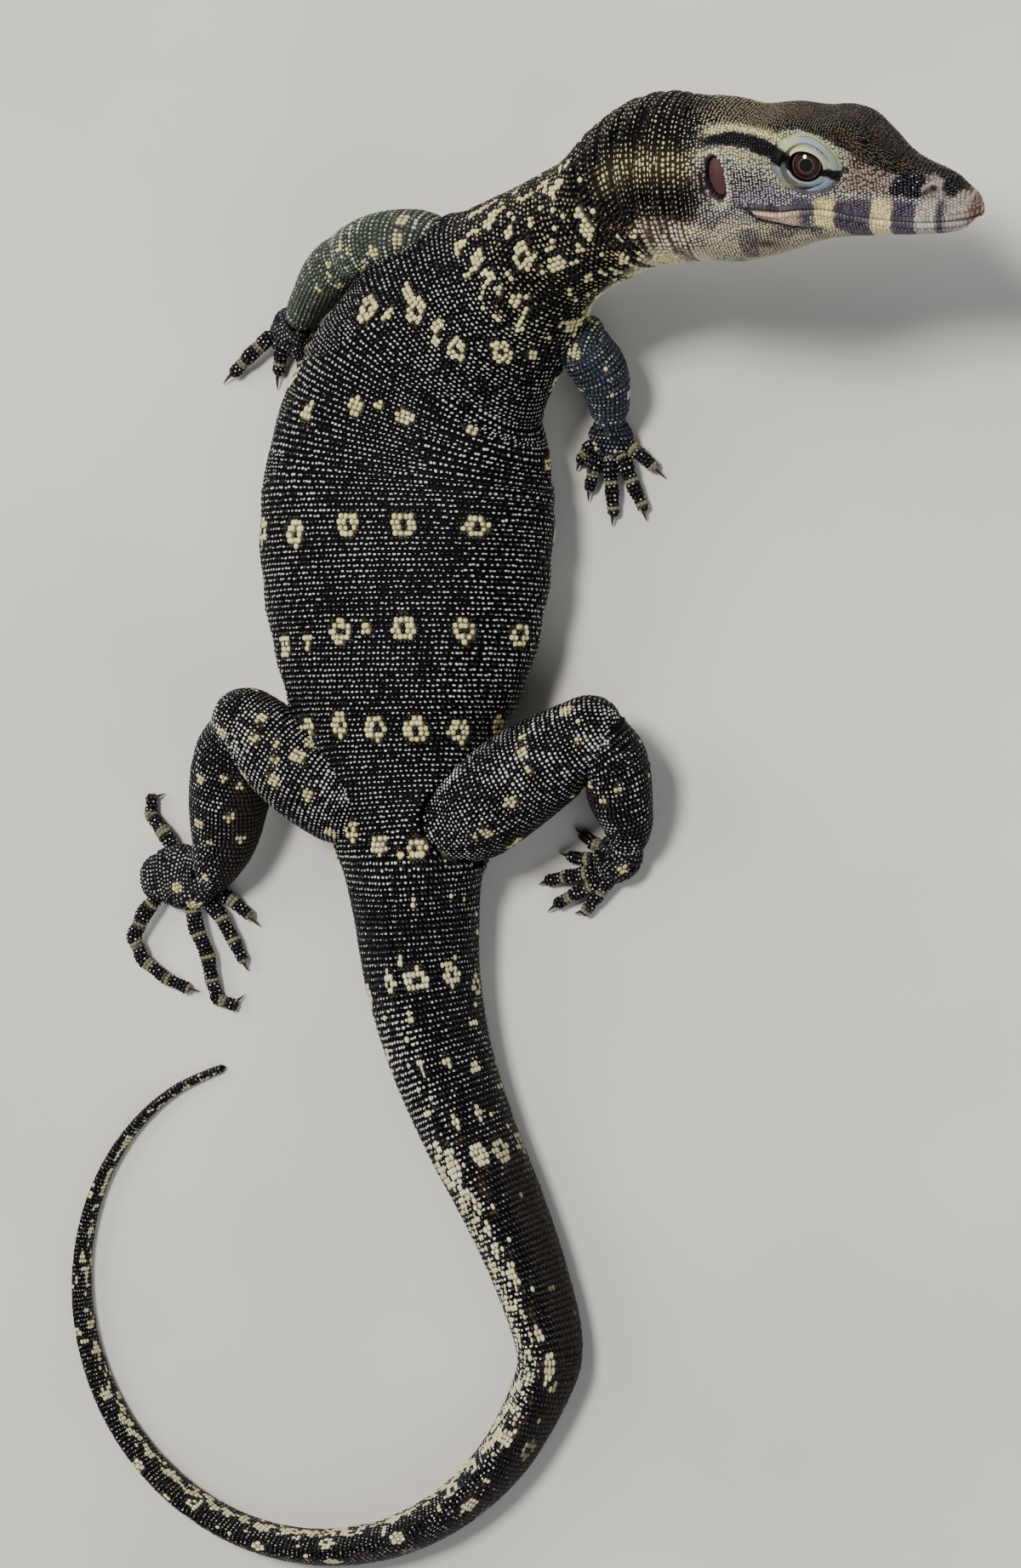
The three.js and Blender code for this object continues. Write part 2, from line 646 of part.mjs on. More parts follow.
// One limb as its upper length, its lower length and its foot, each cut to what it grows from
function addLimb(name, parts, { upper, lower }, foot) {
  const { sides } = LIMB_FACETS;
  const upperTube = (inflate) => tube(upper, sides, LIMB_FACETS.upper, { inflate, roundEnd: true });
  const lowerTube = (inflate, drawIn) => tube(lower, sides, LIMB_FACETS.lower, { inflate, drawIn });
  const tools = [upperTube(GAP), lowerTube(GAP, 0)];
  const pieces = [
    [parts[0], upperTube(0), [bodyTool]],
    [parts[1], lowerTube(0, GAP / 2), [bodyTool, tools[0]]],
    ["foot", footSolid(foot), [bodyTool, ...tools]],
  ];
  pieces.forEach(([part, whole, cutters]) =>
    add(`${name}_${part}`, geometryOf(cut(whole, cutters)), skin(SKINS.limb)),
  );
}

["left", "right"].forEach((side) => {
  addLimb(`fore_${side}`, ["upper_arm", "forearm"], ARMS[side], FEET[`fore_${side}`]);
  addLimb(`hind_${side}`, ["thigh", "shank"], LEGS[side], FEET[`hind_${side}`]);
});

export default lizard;
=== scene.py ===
import math

import bpy
import numpy as np
from mathutils import Matrix, Vector
from mathutils.bvhtree import BVHTree


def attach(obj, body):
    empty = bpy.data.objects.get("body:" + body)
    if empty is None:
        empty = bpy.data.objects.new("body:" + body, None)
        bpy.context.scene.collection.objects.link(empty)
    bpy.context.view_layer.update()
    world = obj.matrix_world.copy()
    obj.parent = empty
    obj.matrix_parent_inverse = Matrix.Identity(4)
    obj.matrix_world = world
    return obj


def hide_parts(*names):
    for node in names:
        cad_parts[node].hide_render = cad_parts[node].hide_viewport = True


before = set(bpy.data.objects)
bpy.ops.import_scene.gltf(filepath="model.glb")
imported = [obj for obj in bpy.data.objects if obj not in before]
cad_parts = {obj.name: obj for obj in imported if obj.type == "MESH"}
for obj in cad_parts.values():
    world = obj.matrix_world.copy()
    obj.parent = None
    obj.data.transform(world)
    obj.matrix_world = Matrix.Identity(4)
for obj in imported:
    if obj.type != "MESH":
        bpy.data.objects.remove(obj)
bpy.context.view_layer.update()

# A young Asian water monitor lizard, life size. Sizes are in millimetres until a mesh is written in
# metres. The origin is on the floor under the middle of the trunk, +Y runs to the shoulders and +X is
# the animal's right.

MM = 0.001
rng = np.random.default_rng(7)

# Driving dimensions
COAT = 0.32  # depth of the scales over the skin
FLAT = 0.6  # how much of a round underside the floor takes off
HEAD_LENGTH = 52.0  # snout tip to the back of the jaw
EYEBALL = 4.1  # radius
TAIL_BEND = {  # centre, first and last radius, steps, and first angle and sweep in degrees
    "x": -34.8, "y": -151.5, "first": 61.4, "last": 45.8, "turns": 14, "start": -17, "sweep": 232,
}
MOST_TRIANGLES = 190000  # in one piece
SKIN_LOW, JOINED_LOW, SCALE_LOW = 0.12, 0.06, 0.01  # least heights over the floor
WELD = 2e-6  # metres within which two points become one

# Head pose
SNOUT_TIP = np.array([123.0, 53.0, 46.0])
HEAD_HEADING, HEAD_PITCH, HEAD_ROLL = -3.5, 2.3, 60.0

# Head outline: distance from the snout tip, top, underside, half width and height of the widest level
HEAD = np.array([
    [0.0, 1.6, -0.8, 1.7, 0.3],
    [0.9, 3.7, -1.4, 3.1, 0.5],
    [2.4, 5.1, -2.3, 4.1, 0.6],
    [4.2, 7.0, -3.0, 4.7, 0.7],
    [6.4, 8.3, -3.3, 5.2, 0.7],
    [9.2, 9.5, -3.4, 5.6, 0.8],
    [12.4, 11.4, -3.3, 6.1, 0.9],
    [15.8, 15.0, -3.1, 6.9, 1.2],
    [19.4, 18.2, -3.0, 7.9, 1.6],
    [23.5, 19.3, -3.0, 8.9, 2.2],
    [28.0, 19.3, -3.5, 9.8, 2.8],
    [33.5, 20.0, -5.2, 10.7, 3.4],
    [40.0, 19.7, -6.8, 11.8, 4.2],
    [46.5, 21.9, -7.7, 12.3, 5.3],
    [52.0, 22.8, -7.4, 12.2, 6.6],
])
# Line of the mouth: distance from the snout tip, height
MOUTH = np.array([
    [0, 0.1], [6, 0.1], [10.5, 0.3], [14.5, 1.0], [18, 1.9], [22.5, 3.1], [26.5, 4.4], [31, 4.6],
    [34, 4.6], [37, 5.2], [41, 5.9], [52, 6.6],
])
MOUTH_CORNER = 40.0

# Axis of the body: x, y, z, half width, height above, depth below, roll in degrees
NECK = [
    [63.4, 63.6, 44.8, 12.0, 16.0, 15.6, 58],
    [55.0, 63.2, 40.4, 11.8, 13.7, 15.4, 52],
    [45.6, 60.6, 35.0, 11.8, 11.2, 14.4, 42],
    [35.4, 56.8, 29.4, 13.2, 11.8, 13.2, 29],
    [24.4, 51.2, 23.8, 17.0, 13.2, 14.0, 16],
    [13.6, 43.6, 19.0, 21.6, 14.4, 15.4, 5],
]
TRUNK = [
    [5.0, 35.0, 15.8, 25.8, 15.6, 15.8, 0],
    [0.0, 25.4, 13.9, 29.2, 16.4, 14.5, 0],
    [-2.8, 15.0, 13.0, 31.2, 17.0, 13.6, 0],
    [-3.6, 4.0, 13.0, 31.8, 17.3, 13.6, 0],
    [-3.8, -7.0, 13.0, 31.0, 17.0, 13.6, 0],
    [-3.9, -18.0, 13.0, 29.0, 16.5, 13.6, 0],
    [-4.0, -29.0, 12.9, 25.6, 15.5, 13.5, 0],
    [-3.9, -40.0, 12.6, 19.6, 14.3, 13.2, 0],
    [-3.5, -51.0, 12.2, 15.6, 13.3, 12.8, 0],
    [-2.8, -62.0, 11.9, 15.0, 12.8, 12.5, 0],
]
TAIL_WAY = [
    [-2.4, -73.5], [-1.2, -88.0], [2.4, -103.5], [8.2, -118.5], [15.0, -132.5], [21.0, -146.5],
    [25.2, -160.5],
]

# Limbs: x, y, z, radius from the root out
LIMBS = {
    "fore_left": (
        [[16, 50, 20, 8.5], [6, 58, 20, 7.6], [-3, 60.2, 19.8, 7.0], [-12.4, 59.4, 18.2, 6.4]],
        [[-12.4, 59.4, 18.2, 6.3], [-20.2, 56.2, 14, 5.7], [-26.6, 52.4, 9, 4.5], [-31.2, 49, 5.6, 3.6]],
    ),
    "fore_right": (
        [[16, 36, 16, 8.5], [25.6, 39.8, 16.8, 7.6], [30.6, 40.6, 17.2, 6.8], [35.6, 38.8, 16.6, 6.2]],
        [[36.6, 37.4, 16.0, 6.1], [38.6, 32.8, 12.2, 5.5], [38.6, 28.4, 8.4, 4.4], [37.8, 24.6, 5.4, 3.6]],
    ),
    "hind_left": (
        [
            [-6, -55, 13, 10.8], [-14.6, -51.0, 13.8, 11.2], [-23.0, -46.4, 15.6, 10.8],
            [-31.0, -41.0, 16.8, 9.6], [-37.6, -36.8, 17.0, 8.4],
        ],
        [
            [-38.2, -38.0, 16.6, 8.4], [-41.8, -43.8, 14.8, 8.6], [-44.4, -52.0, 12.2, 8.4],
            [-47.2, -60.8, 9.2, 6.8], [-51.6, -68.2, 6.2, 4.2],
        ],
    ),
    "hind_right": (
        [
            [2, -57, 13, 10.8], [11.0, -53.4, 13.8, 11.0], [19.4, -49.2, 15.6, 10.4],
            [29.0, -43.6, 17.0, 9.4], [37.9, -38.8, 17.4, 8.0],
        ],
        [
            [38.9, -39.6, 16.8, 7.7], [41.7, -44.4, 14.8, 7.3], [42.4, -50.8, 11.8, 6.5],
            [42.6, -56.0, 8.4, 5.2], [41.6, -60.4, 5.8, 4.0],
        ],
    ),
}

# Feet: the palm as x, y, z, half width, half thickness, and each toe as places with the claw's tip last
FEET = {
    "fore_left": {
        "toe": 1.75,
        "palm": [[-31.4, 49.2, 5.2, 3.6, 3.2], [-34.0, 47.4, 3.6, 4.8, 2.9], [-36.0, 45.8, 2.8, 4.2, 2.3]],
        "toes": [
            [
                [-35.4, 47.4, 2.8], [-40.0, 45.4, 3.2], [-44.2, 42.4, 2.9], [-48.2, 39.4, 1.8],
                [-51.9, 36.9, 0.4],
            ],
            [[-35.2, 46.0, 2.8], [-36.7, 42.6, 3.1], [-38.0, 39.2, 1.7], [-38.9, 35.0, 0.4]],
            [[-33.4, 45.6, 2.8], [-32.6, 42.6, 3.1], [-32.2, 39.4, 1.6], [-31.6, 36.4, 0.4]],
            [[-32.4, 46.4, 2.8], [-29.8, 43.6, 2.9], [-27.8, 40.4, 1.6], [-26.4, 37.4, 0.4]],
            [[-31.8, 47.6, 2.6], [-28.6, 46.4, 2.6], [-25.8, 45.4, 1.5], [-23.2, 43.8, 0.4]],
        ],
    },
    "fore_right": {
        "toe": 1.65,
        "palm": [[37.8, 24.8, 5.2, 3.6, 3.2], [37.4, 21.8, 3.6, 4.8, 2.9], [37.0, 19.4, 2.8, 4.2, 2.3]],
        "toes": [
            [[39.0, 20.8, 2.8], [42.6, 18.4, 3.2], [45.6, 15.6, 1.7], [48.2, 12.8, 0.4]],
            [[38.2, 19.8, 2.8], [40.4, 15.6, 3.2], [42.0, 11.0, 2.4], [43.4, 7.6, 1.6], [44.0, 4.4, 0.4]],
            [[37.0, 19.4, 2.8], [37.2, 14.8, 3.2], [37.2, 10.0, 2.4], [37.2, 6.8, 1.6], [36.6, 3.6, 0.4]],
            [[35.8, 19.8, 2.8], [33.8, 15.8, 3.1], [32.2, 12.0, 1.7], [31.4, 8.8, 0.4]],
            [[35.4, 21.2, 2.8], [32.4, 19.4, 3.0], [30.4, 17.4, 1.6], [28.8, 15.2, 0.4]],
        ],
    },
    "hind_left": {
        "toe": 1.7,
        "palm": [
            [-51.8, -68.0, 5.8, 4.2, 3.8], [-56.4, -68.6, 4.4, 6.4, 3.6], [-61.6, -68.0, 3.5, 7.0, 3.1],
            [-65.6, -68.6, 2.9, 5.4, 2.5],
        ],
        "toes": [
            [
                [-61.6, -63.6, 3.0], [-64.6, -59.0, 3.2], [-68.4, -55.0, 1.9], [-68.6, -51.6, 1.5],
                [-65.6, -50.4, 0.4],
            ],
            [
                [-64.8, -70.6, 3.0], [-69.6, -76.4, 3.1], [-72.3, -81.4, 2.6], [-70.2, -86.2, 2.3],
                [-65.0, -90.0, 2.0], [-60.4, -92.0, 1.5], [-57.4, -92.8, 0.4],
            ],
            [
                [-58.6, -72.0, 3.0], [-56.9, -79.2, 3.0], [-54.6, -85.0, 2.5], [-53.7, -90.4, 2.0],
                [-52.6, -94.2, 1.6], [-49.2, -95.4, 1.2], [-46.4, -93.2, 0.4],
            ],
            [
                [-56.4, -71.4, 3.0], [-51.4, -76.2, 3.0], [-48.4, -81.8, 2.2], [-46.8, -85.4, 1.5],
                [-45.6, -88.4, 0.4],
            ],
            [[-54.4, -70.2, 3.0], [-49.0, -72.8, 3.0], [-45.4, -76.0, 1.6], [-42.8, -78.8, 0.4]],
        ],
    },
    "hind_right": {
        "toe": 1.6,
        "palm": [[41.8, -60.0, 5.6, 4.0, 3.6], [39.6, -62.6, 4.2, 5.0, 3.3], [37.4, -64.2, 3.2, 4.6, 2.7]],
        "toes": [
            [
                [39.0, -63.8, 2.9], [37.3, -67.2, 3.1], [34.0, -71.0, 2.4], [31.4, -74.0, 1.6],
                [28.2, -74.8, 0.4],
            ],
            [
                [37.6, -65.4, 2.9], [34.0, -68.4, 3.0], [29.4, -70.6, 2.4], [25.4, -72.6, 1.6],
                [22.4, -74.6, 0.4],
            ],
            [
                [36.8, -64.8, 2.9], [32.4, -66.4, 3.0], [27.4, -67.2, 2.3], [23.4, -68.0, 1.5],
                [20.4, -69.0, 0.4],
            ],
            [[36.6, -63.4, 2.9], [32.0, -63.6, 3.0], [28.2, -63.2, 1.6], [25.0, -62.4, 0.4]],
            [[37.2, -62.0, 2.7], [33.6, -60.6, 2.7], [30.8, -58.8, 1.5], [28.4, -57.0, 0.4]],
        ],
    },
}

# Places on the head: distance from the snout tip, sideways, height, and half lengths of the opening
BALL = {"back": 28.7, "side": 6.2, "high": 12.3}
EYE = {"back": 28.35, "high": 12.63, "long": 3.15, "tall": 2.57, "lean": 26.0}
NOSTRIL = {"back": 7.8, "high": 5.7, "long": 1.1, "tall": 0.48, "lean": -14.0}
EAR = {"back": 44.8, "high": 11.4, "long": 1.75, "tall": 3.95, "lean": -8.6, "deep": 1.7}


# Small mathematics


def smooth(x, low, high):
    t = np.clip((x - low) / (high - low), 0, 1)
    return t * t * (3 - 2 * t)


def bell(x, width):
    return np.exp(-((x / width) ** 2))


def span(x, a, b, c, d):
    """1 from b to c, falling softly to 0 at a and at d."""
    return smooth(x, a, b) * (1 - smooth(x, c, d))


def unit(v):
    return v / np.maximum(np.linalg.norm(v, axis=-1, keepdims=True), 1e-9)


def rows_at(rows, t):
    """Catmull-Rom values through rows at row numbers t."""
    i = np.clip(np.floor(t).astype(int), 0, len(rows) - 2)
    u = (t - i)[:, None]
    a, b, c, d = (rows[np.clip(i + k, 0, len(rows) - 1)] for k in (-1, 0, 1, 2))
    return b + 0.5 * u * (c - a + u * (2 * a - 5 * b + 4 * c - d + u * (3 * (b - c) + d - a)))


def rows_for(rows, x):
    """The same, at values of the first column, which rises."""
    i = np.clip(np.searchsorted(rows[:, 0], x) - 1, 0, len(rows) - 2)
    return rows_at(rows, i + (x - rows[i, 0]) / (rows[i + 1, 0] - rows[i, 0]))


LATTICE = rng.random((64, 64))


def cloud(x, y, size, seed=0):
    """Soft random value from 0 to 1 over a surface, in blotches of about the given size."""
    x, y = x / size + 7.3 * seed, y / size + 3.1 * seed
    i, j = np.floor(x).astype(int), np.floor(y).astype(int)
    u, v = smooth(x - i, 0, 1), smooth(y - j, 0, 1)
    pick = lambda a, b: LATTICE[(i + a) % 64, (j + b) % 64]
    first = (1 - u) * pick(0, 0) + u * pick(1, 0)
    second = (1 - u) * pick(0, 1) + u * pick(1, 1)
    return (1 - v) * first + v * second


def section_point(angle, width, above, below, top_power, low_power):
    """Sideways and upward reach of a rounded section at an angle from the top."""
    s, c = np.sin(angle), np.cos(angle)
    power = np.where(c > 0, top_power, low_power)
    tall = np.where(c > 0, above, below)
    reach = ((np.abs(s) / width) ** power + (np.abs(c) / tall) ** power) ** (-1 / power)
    return reach * s, reach * c


def side_at(height, width, above, below, top_power, low_power):
    """Half width of a rounded section at a height from its widest level."""
    power = np.where(height > 0, top_power, low_power)
    share = np.clip(np.abs(height) / np.where(height > 0, above, below), 0, 0.999)
    return width * (1 - share**power) ** (1 / power)


# Head frame


def turn(axis, degrees):
    return np.array(Matrix.Rotation(math.radians(degrees), 3, axis))


HEAD_TURN = turn("Z", HEAD_HEADING) @ turn("Y", -HEAD_PITCH) @ turn("X", -HEAD_ROLL)
NOSE, HEAD_RIGHT, HEAD_UP = (HEAD_TURN @ np.array(v, float) for v in ((1, 0, 0), (0, -1, 0), (0, 0, 1)))


def on_head(back, side, high):
    """World place of head points: distance back from the snout tip, sideways to the right, height."""
    back, side, high = (np.asarray(v, float)[..., None] for v in (back, side, high))
    return SNOUT_TIP - NOSE * back + HEAD_RIGHT * side + HEAD_UP * high


def head_shape(back):
    top, low, width, level = rows_for(HEAD, back).T[1:]
    top_power = 2.3 + 2 * smooth(back, 5, 18) - 2.2 * smooth(back, 36, HEAD_LENGTH)
    low_power = 2.7 - 0.4 * smooth(back, 40, HEAD_LENGTH)
    return level, (width - COAT, top - level - COAT, level - low - COAT, top_power, low_power)


def soft_max(a, b, blend):
    """The larger of two values, rounded where they cross."""
    return np.maximum(a, b) + np.maximum(0, blend - np.abs(a - b)) ** 2 / (4 * blend)


def mouth_height(back):
    return rows_for(MOUTH, back)[:, 1]


def mouth_angle(back):
    level, shape = head_shape(back)
    rise = mouth_height(back) - level
    return np.arctan2(side_at(rise, *shape), rise)


def cheek_side(back, high):
    level, shape = head_shape(back)
    return side_at(high - level, *shape)


# Body: the head up to its back end, then the neck, trunk and tail on one axis


def tail_rows():
    """Rows of the tail: its measured way, then an even bend that tightens towards the tip."""
    bend = TAIL_BEND
    way = [list(p) for p in TAIL_WAY]
    for i in range(bend["turns"] + 1):
        share = i / bend["turns"]
        angle = math.radians(bend["start"] - share * bend["sweep"])
        radius = bend["first"] + (bend["last"] - bend["first"]) * share
        way.append([bend["x"] + radius * math.cos(angle), bend["y"] + radius * math.sin(angle)])
    rows = []
    for i, (x, y) in enumerate(way):
        left = 1 - (i + 1) / len(way)
        width = 0.8 + 4.4 * left + 9.4 * left**3
        height = 1.7 + 22.2 * left + 0.8 * left**3
        above, below = 0.52 * height, 0.48 * height
        rows.append([x, y, below - FLAT * min(1, height / 8), width, above, below, 0])
    return rows


def head_end_row(back):
    level, shape = head_shape(np.array([back]))
    centre = on_head(back, 0, level[0])
    sizes = [float(np.ravel(v)[0]) + COAT for v in shape[:3]]
    return [*centre, *sizes, HEAD_ROLL]


BODY = np.array(
    [head_end_row(HEAD_LENGTH - 7), head_end_row(HEAD_LENGTH), *NECK, *TRUNK, *tail_rows()], float
)
HEAD_END = 1
NECK_END = HEAD_END + len(NECK)
TRUNK_END = NECK_END + len(TRUNK)


def body_frame(t):
    """Centre, forward, right and up directions and section shape of the body at row numbers."""
    row = rows_at(BODY, t)
    along = unit(rows_at(BODY, t - 0.02)[:, :3] - rows_at(BODY, t + 0.02)[:, :3])
    turn_in = smooth(t, HEAD_END, HEAD_END + 1.5)[:, None]
    forward = unit(NOSE * (1 - turn_in) + along * turn_in)
    upright = unit(np.array([0, 0, 1.0]) - forward * forward[:, 2:3])
    level = np.cross(forward, upright)
    roll = np.radians(row[:, 6])[:, None]
    up = upright * np.cos(roll) - level * np.sin(roll)
    keel = smooth(t, TRUNK_END - 2, TRUNK_END + 8)
    depth = COAT * np.minimum(1, row[:, 3] / 3)
    shape = (row[:, 3] - depth, row[:, 4] - depth, row[:, 5] - depth, 2.1 - 0.5 * keel, np.full(len(t), 2.3))
    return row[:, :3], forward, np.cross(forward, up), up, shape


T_GRID = np.linspace(HEAD_END, len(BODY) - 1, 2400)
ALONG_BODY = np.concatenate(
    [[0], np.cumsum(np.linalg.norm(np.diff(rows_at(BODY, T_GRID)[:, :3], axis=0), axis=1))]
)
BODY_LENGTH = ALONG_BODY[-1]
TAIL_TIP = 1.4  # length of the rounded end of the tail


def row_number(along):
    return np.interp(along, ALONG_BODY, T_GRID)


def along_of(t):
    return float(np.interp(t, T_GRID, ALONG_BODY))


NECK_S, TRUNK_S = along_of(NECK_END), along_of(TRUNK_END)


def ellipse_share(back, high, place):
    """0 at the middle of an opening and 1 at its edge."""
    lean = math.radians(place["lean"])
    x, y = back - place["back"], high - place["high"]
    x, y = x * math.cos(lean) + y * math.sin(lean), y * math.cos(lean) - x * math.sin(lean)
    return np.sqrt((x / place["long"]) ** 2 + (y / place["tall"]) ** 2)


def half_arcs():
    """Length of the head's section from the top to the line of the mouth and on to the underside."""
    back = np.linspace(0, HEAD_LENGTH, 53)
    _, shape = head_shape(back)
    at_mouth = mouth_angle(back)
    lengths = []
    for first, last in ((0 * at_mouth, at_mouth), (at_mouth, 0 * at_mouth + np.pi)):
        angle = first + (last - first) * np.linspace(0, 1, 40)[:, None]
        side, rise = section_point(angle, *shape)
        lengths.append(np.hypot(np.diff(side, axis=0), np.diff(rise, axis=0)).sum(0))
    return back, lengths


ARC_BACKS, (ARC_ABOVE, ARC_BELOW) = half_arcs()


def below_mouth(back, v):
    """Distance round the head below the line of the mouth, less than 0 above it."""
    above = np.interp(back, ARC_BACKS, ARC_ABOVE)
    below = np.interp(back, ARC_BACKS, ARC_BELOW)
    wide = np.abs(v) - 1
    return np.where(wide < 0, wide * above, wide * below)


LID = 0.62  # thickness of the lids over the eyeball


# Crease from the corner of the mouth down to the lower jaw: distance from the snout tip, height
CREASE = ([22, 26, 29, 32, 35, 37.8, 39.4, 42], [-0.4, 0.2, 0.9, 1.5, 2.6, 3.7, 5.2, 6.6])


def crease_height(back):
    return np.interp(back, *CREASE)


# Soft swellings of the head: how high, then place and width along, up and sideways
SWELLINGS = {
    "brow": (1.25, 23.5, 5, 15.5, 3, 8, 3),
    "hollow": (-1.2, 19, 6, 8.6, 3, 7.5, 4),
    "temple": (0.5, 38, 6, 15, 4, 10, 4),
    "jaw": (0.9, 41, 6, 1, 5, 11, 4),
}


def swelling(name, back, high, wide):
    most, at_back, long, at_high, tall, at_wide, broad = SWELLINGS[name]
    return most * bell(back - at_back, long) * bell(high - at_high, tall) * bell(wide - at_wide, broad)


def head_relief(back, side, high, v):
    """How far the skin stands off the plain head section."""
    wide = np.abs(side)
    below = below_mouth(back, v)
    open_part = 1 - smooth(back, MOUTH_CORNER - 3, MOUTH_CORNER + 1)
    lips = 0.34 * (bell(below + 1.2, 0.9) + 0.8 * bell(below - 1.1, 0.9)) * open_part
    groove = -0.26 * bell(below, 0.18) * open_part
    tucked_chin = 0.7 * (1 - smooth(back, 0.8, 2.8)) * smooth(below, 0.1, 0.5)
    under_crease = high - crease_height(back)
    creased = span(back, 25, 30, 40, 43) * (wide > 3)
    fold = (0.5 * bell(under_crease - 1.1, 0.8) - 0.6 * bell(under_crease, 0.38)) * creased
    opening = ellipse_share(back, high, NOSTRIL)
    rim = 0.42 * bell(opening - 1.5, 0.6) * (wide > 2)
    nostril = -1.3 * (1 - smooth(opening, 0.6, 1.1)) * (wide > 2)
    brow, hollow, temple, jaw = (swelling(name, back, high, wide) for name in SWELLINGS)
    return brow + hollow + temple + lips + (groove - tucked_chin) + jaw + fold + rim + nostril


def ball_side(back, high):
    """Sideways place of the lids over the eyeball, and the distance from its middle in side view."""
    far = np.hypot(back - BALL["back"], high - BALL["high"])
    return BALL["side"] + np.sqrt(np.maximum((EYEBALL + LID) ** 2 - far**2, 0.01)), far


def slit_back(high):
    """Fold of skin behind the ear."""
    return 47.6 - 0.05 * (high - 11) ** 2


def skin_side(back, high, side):
    """Sideways place of the head's skin round the eyes and ears, for a plain sideways place."""
    wide = np.abs(side)
    ball, far = ball_side(back, high)
    near = (far < EYEBALL + LID) & (wide > 3)
    raised = np.where(near, soft_max(wide, ball, 0.5), wide)
    open_eye = (ellipse_share(back, high, EYE) < 1.0) & (wide > 3)
    raised = np.where(open_eye, BALL["side"] + 0.4 * EYEBALL, raised)
    ear_share = ellipse_share(back, high, EAR)
    ear = EAR["deep"] * (1 - smooth(ear_share, 0.72, 1.05)) - 0.45 * bell(ear_share - 1.3, 0.28)
    slit = 0.8 * bell(back - slit_back(high), 0.35) * bell(high - 10.5, 3.4)
    raised = raised - (ear + slit) * (wide > 6)
    return np.sign(side) * raised


# Folds across the right side of the neck: distance behind the head, half width, share of the depth
NECK_FOLDS = [
    (3.0, 0.3, 0.5), (6.4, 0.35, 0.7), (9.6, 0.4, 0.8), (12.8, 0.45, 0.8), (16.0, 0.4, 0.7),
    (19.2, 0.6, 1.0),
]


def fold_depth(s, v):
    """0 on plain skin, up to 1 in the folds across the right side of the neck."""
    place = s - 1.2 * np.sin(1.9 * v) + 0.25 * np.sin(5 * v)
    deep = sum(share * bell(place - middle, half) for middle, half, share in NECK_FOLDS)
    top = smooth(v, 0.05, 0.5) + 0.25 * smooth(np.abs(v), 0.1, 0.4)
    return deep * np.minimum(top, 1) * (1 - smooth(np.abs(v), 1.75, 2.0))


def neck_relief(s, v):
    """Loose folds on the right of the neck, a groove along the spine and soft folds on the flanks."""
    folds = -0.75 * fold_depth(s, v) + 0.3 * smooth(v, 0.6, 1.2) * np.sin(1.9 * s) * bell(s - 10, 9)
    nape = 0.18 * np.sin(2.3 * s + 2 * np.cos(3 * v)) * bell(s - 6, 8)
    spine = -0.25 * bell(v, 0.03) * smooth(s, NECK_S + 20, NECK_S + 50)
    wave = np.sin(0.55 * s + 1.6 * np.sin(2.4 * v))
    flank = wave * bell(np.abs(v) - 1.1, 0.4) * smooth(s, NECK_S, NECK_S + 20)
    return folds + nape + spine + 0.22 * flank * (s < TRUNK_S)


def tail_relief(s, v):
    """Double keel along the top of the tail."""
    on_tail = smooth(s, TRUNK_S - 12, TRUNK_S + 18)
    size = np.clip(1 - (s - TRUNK_S) / (BODY_LENGTH - TRUNK_S), 0, 1)
    return on_tail * size * (0.55 * bell(np.abs(v) - 0.085, 0.05) - 0.25 * bell(v, 0.03))


class Body:
    """Skin from the snout tip to the tip of the tail. s runs along it from -HEAD_LENGTH. v is 0 on
    top, 1 and -1 at the right and left sides (on the head, at the line of the mouth) and 2 and -2
    underneath."""

    name = "body"
    start, end = -HEAD_LENGTH, BODY_LENGTH

    def at(self, s, v):
        s, v = np.broadcast_arrays(np.asarray(s, float), np.asarray(v, float))
        shape = s.shape
        s, v = s.ravel(), ((v.ravel() + 2) % 4) - 2
        out = np.empty((len(s), 3))
        head = s < 0
        if head.any():
            out[head] = self.on_the_head(s[head] + HEAD_LENGTH, v[head])
        if (~head).any():
            out[~head] = self.behind_head(s[~head], v[~head])
        out[:, 2] = np.maximum(out[:, 2], SKIN_LOW)
        return out.reshape(*shape, 3)

    def on_the_head(self, back, v):
        level, shape = head_shape(back)
        at_mouth = mouth_angle(back)
        sideways = np.pi / 2
        at_mouth = at_mouth + (sideways - at_mouth) * smooth(back, MOUTH_CORNER + 2, HEAD_LENGTH)
        wide = np.abs(v)
        below = at_mouth + (wide - 1) * (np.pi - at_mouth)
        angle = np.where(wide < 1, wide * at_mouth, below) * np.sign(v)
        side, rise = section_point(angle, *shape)
        length = np.hypot(side, rise)
        relief = head_relief(back, side, rise + level, v) * (1 - smooth(back, 50, HEAD_LENGTH))
        side, rise = side * (1 + relief / length), rise * (1 + relief / length)
        high = rise + level
        return on_head(back, skin_side(back, high, side), high)

    def behind_head(self, s, v):
        centre, _, right, up, shape = body_frame(row_number(s))
        side, rise = section_point(v * np.pi / 2, *shape)
        length = np.hypot(side, rise)
        left = np.clip((BODY_LENGTH - s) / TAIL_TIP, 0, 1)
        rounded = np.sqrt(1 - 0.98 * (1 - left) ** 2)
        grow = (1 + (neck_relief(s, v) + tail_relief(s, v)) / length) * rounded
        return centre + right * (side * grow)[:, None] + up * (rise * grow)[:, None]


